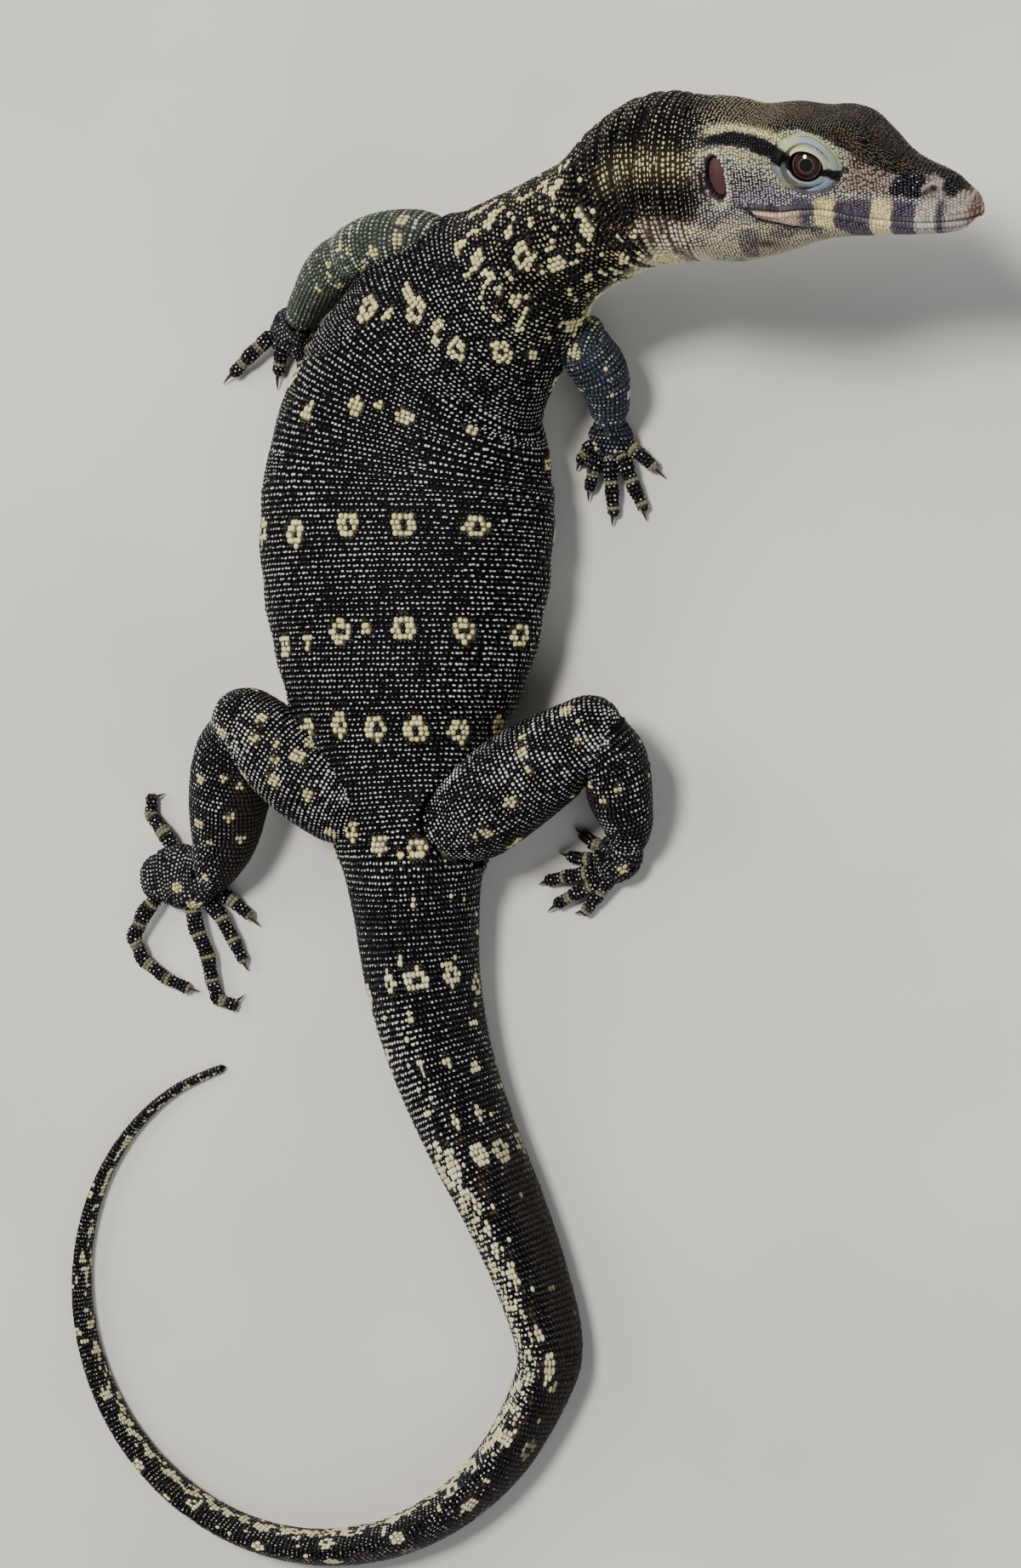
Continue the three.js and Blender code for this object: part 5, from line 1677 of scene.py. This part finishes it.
def add_lid_granules(coat, sign):
    """Fine scales on the lids, in rings round the eye, apart from the shiny fold and the ribbed rim."""
    fan = np.linspace(0, 2 * np.pi, 400)

    def lid_place(angle, share):
        back, side, high = lid_points(sign, angle, share, sunk=False)
        return on_head(back, sign * side, high)

    for number, share in enumerate(np.arange(1.17, 2.06, 0.13)):
        steps = np.hypot(EYE["long"] * np.sin(fan), EYE["tall"] * np.cos(fan)) * share
        arc = np.concatenate([[0], np.cumsum((steps[1:] + steps[:-1]) / 2 * (fan[1] - fan[0]))])
        count = int(arc[-1] / 0.46)
        angle = np.interp((np.arange(count) + 0.5 * (number % 2)) * arc[-1] / count, arc, fan)
        angle = angle + rng.normal(0, 0.012, count)
        ring = np.full(count, share) + rng.normal(0, 0.015, count)
        place = lid_place(angle, ring)
        along = unit(lid_place(angle + 0.03, ring) - place)
        across = unit(lid_place(angle, ring + 0.03) - place)
        normal = unit(np.cross(along, across))
        normal = normal * np.sign(normal @ HEAD_RIGHT * sign)[:, None]
        lower_rim = (np.sin(angle) < 0.0) & (share < 1.72)
        upper_rim = (np.sin(angle) >= 0.0) & (share < 1.18)
        on_fold = (crescent(angle) > 0.3) & (share > 1.38) & (share < 1.76)
        back, side, high = lid_points(sign, angle, ring, sunk=False)
        tone = lid_colours(angle, ring, back, side, high)
        grow = 1 + rng.normal(0, 0.12, (count, 3))
        coat.add(
            ~(lower_rim | upper_rim | on_fold),
            place=place, normal=normal, along=along, across=unit(np.cross(normal, along)),
            size=grow * [0.25, 0.22, 0.1], twist=rng.uniform(0, 3, count),
            tone=tone * 0.5, dot=np.minimum(tone * 1.35, 0.9), spot=np.full(count, 0.72),
            map=np.stack([back - HEAD_LENGTH, sign * (27.9 - 1.05 * high)], 1),
        )


def make_ear_drum(sign, name):
    def place(x, y):
        share = 1.02 * y
        back, high = opening_place(EAR, x * 2 * np.pi, share)
        side = cheek_side(back, high) - EAR["deep"] + 0.75 + 0.2 * bell(share, 0.5)
        return on_head(back, sign * side, high)

    obj = sleeve(name, 32, 8, place)
    weld(obj, sign < 0)
    return finish_piece(obj, DRUM)


# Scales


def model_scale(sides, squareness, shoulder, top, dash):
    """One scale: a disc, inset and raised to a low dome, then made squarer. Its dot is a dash across."""
    bpy.ops.object.select_all(action="DESELECT")
    bpy.ops.mesh.primitive_circle_add(
        vertices=sides, radius=1, fill_type="NGON", rotation=(0, 0, math.pi / sides)
    )
    obj = bpy.context.object
    bpy.ops.object.transform_apply(rotation=True)
    bpy.ops.object.mode_set(mode="EDIT")
    bpy.ops.mesh.select_all(action="SELECT")
    bpy.ops.mesh.inset(thickness=1 - shoulder, depth=top * 0.8)
    bpy.ops.mesh.poke(offset=top * 0.2)
    bpy.ops.mesh.select_all(action="SELECT")
    bpy.ops.mesh.quads_convert_to_tris()
    bpy.ops.object.mode_set(mode="OBJECT")
    co = np.array([v.co for v in obj.data.vertices])
    faces = np.array([list(p.vertices) for p in obj.data.polygons])
    rim = np.hypot(co[:, 0], co[:, 1])
    angle = np.arctan2(co[:, 1], co[:, 0])
    cos, sin = np.cos(angle), np.sin(angle)
    stretch = (np.abs(cos) ** squareness + np.abs(sin) ** squareness) ** (-1 / squareness)
    co[:, 0] *= stretch
    co[:, 1] *= stretch
    co[:, 2] = np.where(co[:, 2] < 1e-4, -0.55, co[:, 2])
    bpy.data.objects.remove(obj)
    return co, faces, np.stack([rim * cos, rim * sin], -1), dash


SCALES = {
    "bead": model_scale(8, 2.4, 0.66, 1.0, 1.45),
    "tile": model_scale(8, 4.5, 0.78, 1.0, 1.35),
    "round": model_scale(8, 2.2, 0.64, 1.0, 1.12),
}


class Coat:
    """Scales gathered for one family of pieces."""

    def __init__(self, name, kind, slot, material):
        self.name, self.kind, self.slot, self.material = name, kind, slot, material
        self.sets = []

    def add(self, stay, **values):
        """Adds scales by their places, directions, sizes and colours. Only those that stay count."""
        self.sets.append({name: value[stay] for name, value in values.items()})

    def build(self):
        data = {k: np.concatenate([s[k] for s in self.sets]) for k in self.sets[0]}
        count = len(data["place"])
        most = MOST_TRIANGLES // len(SCALES[self.kind][1])
        pieces = -(-count // most)
        for number, chunk in enumerate(np.array_split(np.arange(count), pieces), 1):
            name = self.name if pieces == 1 else f"{self.name}_{number}"
            self.piece(name, {k: v[chunk] for k, v in data.items()})

    def piece(self, name, data):
        shape, faces, rim, dash = SCALES[self.kind]
        n, m = len(data["place"]), len(shape)
        size = data["size"]
        cos, sin = np.cos(data["twist"])[:, None], np.sin(data["twist"])[:, None]
        x = shape[:, 0] * cos - shape[:, 1] * sin
        y = shape[:, 0] * sin + shape[:, 1] * cos
        local = np.stack([x * size[:, :1], y * size[:, 1:2], shape[:, 2] * size[:, 2:3]], -1)
        axes = np.stack([data["along"], data["across"], data["normal"]], 1)
        points = data["place"][:, None, :] + np.einsum("nmk,nkj->nmj", local, axes)
        points[:, :, 2] = np.maximum(points[:, :, 2], SCALE_LOW)
        bpy.ops.object.select_all(action="DESELECT")
        bpy.ops.mesh.primitive_plane_add(size=MM)
        obj = bpy.context.object
        obj.name = obj.data.name = name
        mesh = obj.data
        mesh.clear_geometry()
        mesh.vertices.add(n * m)
        mesh.vertices.foreach_set("co", (points * MM).astype(np.float32).ravel())
        corners = (faces[None, :, :] + (np.arange(n) * m)[:, None, None]).reshape(-1)
        mesh.loops.add(len(corners))
        mesh.loops.foreach_set("vertex_index", corners.astype(np.int32))
        mesh.polygons.add(len(corners) // 3)
        mesh.polygons.foreach_set("loop_start", np.arange(0, len(corners), 3, dtype=np.int32))
        mesh.update(calc_edges=True)
        mesh.validate()
        set_colours(obj, "tone", np.repeat(data["tone"], m, 0))
        dots = np.concatenate([data["dot"], data["spot"][:, None]], 1)
        set_colours(obj, "dot", np.repeat(dots, m, 0))
        layer = mesh.attributes.new("rim", "FLOAT", "POINT")
        narrow = (1 + (dash - 1) * (1 - smooth(data["spot"], 0.55, 0.8)))[:, None]
        far = np.hypot(rim[:, 0] * narrow, rim[:, 1] / narrow)
        layer.data.foreach_set("value", far.ravel().astype(np.float32))
        self.unwrap(mesh, data["map"], shape, corners)
        finish_piece(obj, self.material)

    def unwrap(self, mesh, places, shape, corners):
        """Map for baked colour: each scale is a small patch at its place on the unrolled skin."""
        low, high = places.min(0), places.max(0)
        roots = 0.004 + 0.992 * (places - low) / np.maximum(high - low, 1e-6)
        patch = shape[:, :2] / np.abs(shape[:, :2]).max() * 0.0015
        uv = (roots[:, None, :] + patch[None, :, :]).reshape(-1, 2)
        layer = mesh.uv_layers.new(name="OFBake")
        layer.data.foreach_set("uv", uv[corners].astype(np.float32).ravel())


def row_places(surface, stations, pitches, widths, low, high):
    """Places of scales in rows across a skin. Rows lie half a row apart. Where they spread, the rows
    between are used too, and where they crowd, only every second whole row is."""
    fan = np.linspace(low, high, 161)
    ring = surface.at(stations[:, None], fan[None, :])
    arcs = np.linalg.norm(np.diff(ring, axis=1), axis=2)
    arcs = np.concatenate([np.zeros((len(stations), 1)), np.cumsum(arcs, 1)], 1)
    gaps = np.linalg.norm(np.gradient(ring, axis=0), axis=2) * 2
    found = []
    for k, (s, width) in enumerate(zip(stations, widths)):
        count = max(3, int(round(arcs[k, -1] / width)))
        step = arcs[k, -1] / count
        places = (np.arange(count) + (0.5 if (k // 2) % 2 else 0.02)) * step
        v = np.interp(places, arcs[k], fan)
        gap = np.interp(places, arcs[k], gaps[k])
        stretch = gap / pitches[k]
        spread, crowded = stretch > 1.42, stretch < 0.7
        use = ~crowded | (k % 4 == 0) if k % 2 == 0 else spread
        gap = np.where(spread, gap / 2, np.where(crowded, gap * 2, gap))
        found.append(np.stack([np.full(count, s), v, np.full(count, step), gap])[:, use])
    return np.concatenate(found, 1)


def scale_frame(surface, s, v):
    """Places on a skin with their outward, forward and sideways directions and how deep they lie."""
    place, normal, along, buried = skin_points(surface, s, v)
    normal = normal * FACE[surface.name]
    across = unit(np.cross(normal, along))
    return place, normal, unit(np.cross(across, normal)), across, buried


def cover(coat, surface, rows, low=-2.0, high=2.0, keep=None, tilt=0.12, rough=0.05):
    """Adds rows of scales on a skin between two places round it."""
    stations, pitches, width_share, tall_share = rows
    s, v, width, pitch = row_places(surface, stations, pitches, pitches * width_share, low, high)
    n = len(s)
    s = s + rng.normal(0, rough, n) * pitch
    s = np.clip(s, surface.start + 0.05, surface.end - 0.05)
    v = v + rng.normal(0, rough, n) * width * 0.08
    place, normal, along, across, buried = scale_frame(surface, s, v)
    w, girth = girths(surface, s, v)
    ground, dot, spot = markings(surface, s, v, w, girth)
    stay = buried > -0.3
    if keep is not None:
        stay &= keep(s, v, place)
    vary = 1 + rng.normal(0, 0.04 + rough, (n, 3))
    size = np.stack([pitch * 0.56, width * 0.55, np.minimum(pitch, width) * tall_share], 1) * vary
    coat.add(
        stay, place=place, normal=unit(normal - along * tilt), along=unit(along + normal * tilt),
        across=across, size=size, twist=rng.normal(0, 0.05 + rough, n), tone=ground, dot=dot,
        spot=spot, map=np.stack([s, w], 1),
    )


def rows_between(first, last, pitch_at, width_share, tall_share):
    """Row places half a row apart, with a spacing that changes along the skin."""
    places, pitches = [first], [float(pitch_at(first))]
    while places[-1] + pitches[-1] / 2 < last:
        places.append(places[-1] + pitches[-1] / 2)
        pitches.append(float(pitch_at(places[-1])))
    return np.array(places), np.array(pitches), width_share, tall_share


FACE = {name: outward(surface) for name, surface in surfaces.items()}


def bare_on_head(s, v, place):
    """Leaves out scales in the eye openings, the ears, the nostrils and along the lips."""
    local = place - SNOUT_TIP
    back, side, high = -local @ NOSE, local @ HEAD_RIGHT, local @ HEAD_UP
    wide = np.abs(side)
    eye = (ellipse_share(back, high, EYE) > 1.92) | (wide < 4)
    ear = (ellipse_share(back, high, EAR) > 1.12) | (wide < 6)
    nostril = (ellipse_share(back, high, NOSTRIL) > 1.35) | (wide < 2)
    below = below_mouth(s + HEAD_LENGTH, v)
    lips = (below < -UPPER_LIP - 0.3) | (below > LOWER_LIP + 0.3) | (back > MOUTH_CORNER - 1)
    return eye & ear & nostril & lips


UPPER_LIP, LOWER_LIP = 1.1, 0.9  # height of the lip plates


def add_lip_plates(coat):
    """One row of larger plates above and one below the line of the mouth."""
    for side in (-1, 1):
        for tall, sign, length in ((UPPER_LIP, -1, 0.68), (LOWER_LIP, 1, 0.62)):
            s = -HEAD_LENGTH + np.arange(0.35, MOUTH_CORNER - 1.5, length)
            back, n = s + HEAD_LENGTH, len(s)
            arc = np.interp(back, ARC_BACKS, ARC_ABOVE if sign < 0 else ARC_BELOW)
            v = side * (1 + sign * (tall / 2 + 0.12) / arc)
            place, normal, along, across, _ = scale_frame(body, s, v)
            w, girth = girths(body, s, v)
            ground, dot, spot = markings(body, s, v, w, girth)
            shrink = np.interp(back, [0, 5, 34, 39], [0.7, 1, 1, 0.6])
            size = np.stack([np.full(n, length * 0.6), tall * 0.54 * shrink, np.full(n, 0.065)], 1)
            size = size * (1 + rng.normal(0, 0.08, (n, 3)))
            tone = uneven(ground, rng.random(n), 0.75, 0.5)
            coat.add(
                slice(None), place=place, normal=normal, along=along, across=across, size=size,
                twist=rng.normal(0, 0.08, n), tone=tone, dot=dot, spot=spot * 0, map=np.stack([s, w], 1),
            )


def add_snout_scales(coat):
    """Rings of scales on the blunt front of the snout, with a gap along the mouth."""
    level, shape = head_shape(np.array([0.0]))
    for share, count in ((0.2, 3), (0.52, 9), (0.84, 15)):
        angle = (np.arange(count) + 0.3) * 2 * np.pi / count
        side, rise = section_point(angle, *shape)
        side, high = share * side, level + share * rise
        place = on_head(np.zeros(count), side, high)
        outwards = unit(place - on_head(0, 0, level[0]))
        normal = unit(NOSE + 0.9 * share**3 * outwards)
        across = unit(np.cross(normal, outwards))
        v = np.where(high > 0.1, 0.5, 1.5)
        ground, dot, _ = head_markings(np.full(count, 0.3), side, high, v)
        coat.add(
            np.abs(high - mouth_height(np.zeros(count))) > 0.3,
            place=place, normal=normal, along=np.cross(across, normal), across=across,
            size=np.tile([0.36, 0.34, 0.14], (count, 1)), twist=rng.uniform(0, 3, count),
            tone=ground, dot=dot, spot=np.full(count, 0.4),
            map=np.stack([-HEAD_LENGTH - 2 + 1.5 * share + 0 * angle, 3 * (angle - np.pi)], 1),
        )


def head_pitch(s):
    back = s + HEAD_LENGTH
    return np.interp(back, [0, 4, 12, 25, 40, 52], [0.56, 0.6, 0.6, 0.52, 0.52, 0.76])


def body_pitch(s):
    tail_left = 1 - (s - TRUNK_S) / (BODY_LENGTH - TRUNK_S)
    if s < TRUNK_S:
        return np.interp(s, [0, 25, NECK_S, 130, TRUNK_S], [0.95, 1.15, 1.08, 1.08, 1.02])
    return 0.72 + 0.5 * min(tail_left, 1) + 0.1 * min(1, (s - TRUNK_S) / 30)


COATS = {
    "scales_head": ("round", "head_skin", SCALY_FACE),
    "lip_plates": ("tile", "head_skin", SCALY_FACE),
    "scales_trunk": ("bead", "trunk_skin", SCALY),
    "scales_tail": ("tile", "tail_skin", SCALY),
    "scales_limbs": ("round", "limb_skin", SCALY),
    "scales_feet": ("round", "limb_skin", SCALY),
}


def make_scales():
    coats = [Coat(name, *values) for name, values in COATS.items()]
    head, lips, trunk, tail, limbs, feet = coats
    face = rows_between(-HEAD_LENGTH + 0.15, -0.4, head_pitch, 0.92, 0.27)
    cover(head, body, face, -1, 1, bare_on_head, rough=0.11)
    cover(head, body, face, 1, 3, bare_on_head, rough=0.08)
    add_lip_plates(lips)
    add_snout_scales(head)
    cover(trunk, body, rows_between(0, TRUNK_S, body_pitch, 1.0, 0.32))
    cover(tail, body, rows_between(TRUNK_S, BODY_LENGTH - 0.5, body_pitch, 0.7, 0.3))
    for name, surface in surfaces.items():
        if surface is body:
            continue
        small = "toe" in name
        gap, width_share = (0.85, 1.0) if small else (0.98, 0.9)
        rows = rows_between(surface.start + 0.3, surface.end - 0.2, lambda s: gap, width_share, 0.3)
        cover(feet if small or "palm" in name else limbs, surface, rows)
    for sign in (1, -1):
        add_lid_granules(head, sign)
    for coat in coats:
        coat.build()


CLAW_ROOT = 0.35  # length of a claw inside its toe, as a share of the rest


def make_claws(limb):
    """Claws of one foot: each curves down from the end of its toe to a point."""
    made = []
    for places in FEET[limb]["toes"]:
        end, tip = np.array(places[-2], float), np.array(places[-1], float)
        along = unit(tip - end)
        right = unit(np.cross(along, np.array([0, 0, 1.0])))
        up = np.cross(right, along)

        def place(x, y):
            share = y * (1 + CLAW_ROOT) - CLAW_ROOT
            past = np.maximum(share, 0)
            middle = end + (tip - end) * share[:, None]
            middle[:, 2] += 1.6 * past * (1 - share)
            thick = 0.78 * (1 - past) ** 0.8 + 0.05
            sideways, upwards = 0.62 * thick * np.sin(x * 2 * np.pi), thick * np.cos(x * 2 * np.pi)
            out = middle + right * sideways[:, None] + up * upwards[:, None]
            out[:, 2] = np.maximum(out[:, 2], SCALE_LOW)
            return out

        claw = sleeve(f"claw_{limb}", 14, 12, place)
        close_up(claw, lambda: bpy.ops.mesh.fill_holes(sides=0))
        made.append(claw)
    return finish_piece(join_pieces(made, f"claws_{limb}"), CLAW)


# Floor, lights and camera


def make_stage():
    bpy.ops.object.select_all(action="DESELECT")
    bpy.ops.mesh.primitive_plane_add(size=4)
    floor = bpy.context.object
    floor.name = "floor"
    floor.data.materials.append(FLOOR)
    lights = [
        ("key", (-0.17, 0.38, 1.3), 0.34, 24, (1.0, 0.97, 0.92)),
        ("side", (-1.0, 0.5, 0.75), 0.7, 12, (1.0, 0.98, 0.95)),
        ("fill", (0.9, -0.7, 0.8), 1.0, 9, (0.9, 0.95, 1.0)),
    ]
    for name, place, size, power, colour in lights:
        light = bpy.data.lights.new(name, "AREA")
        light.size, light.energy, light.color = size, power, colour
        holder = bpy.data.objects.new(name, light)
        bpy.context.scene.collection.objects.link(holder)
        holder.visible_glossy = name == "key"
        holder.location = place
        holder.rotation_mode = "QUATERNION"
        holder.rotation_quaternion = (Vector((0, 0, 0)) - Vector(place)).to_track_quat("-Z", "Y")
    world = bpy.data.worlds.new("studio")
    bpy.context.scene.world = world
    world.use_nodes = True
    background = world.node_tree.nodes["Background"]
    background.inputs["Color"].default_value = (0.86, 0.9, 1.0, 1)
    background.inputs["Strength"].default_value = 0.22


CAMERA_TILT = 22.0  # from straight down, towards the animal's right
CAMERA_PLACE = (0.24247, -0.04842, 0.56516)
FOCAL_PIXELS = 3488.0
FRAME_HEIGHT = 1843.0


def make_camera():
    camera = bpy.data.cameras.new("camera")
    camera.sensor_fit = "VERTICAL"
    camera.sensor_height = 36
    camera.sensor_width = 36
    camera.lens = 36 * FOCAL_PIXELS / FRAME_HEIGHT
    camera.clip_start = 0.01
    holder = bpy.data.objects.new("camera", camera)
    bpy.context.scene.collection.objects.link(holder)
    tilt = math.radians(CAMERA_TILT)
    right = Vector((math.cos(tilt), 0, -math.sin(tilt)))
    up = Vector((0, 1, 0))
    back = Vector((math.sin(tilt), 0, math.cos(tilt)))
    holder.matrix_world = Matrix.Translation(CAMERA_PLACE) @ Matrix((right, up, back)).transposed().to_4x4()
    bpy.context.scene.camera = holder


make_camera()
make_skin()
make_scales()
for side_sign, side_name in ((1, "right"), (-1, "left")):
    make_eye(side_sign, f"eyeball_{side_name}")
    make_lids(side_sign, f"lids_{side_name}")
    make_ear_drum(side_sign, f"ear_drum_{side_name}")
for limb_name in LIMBS:
    make_claws(limb_name)
make_stage()
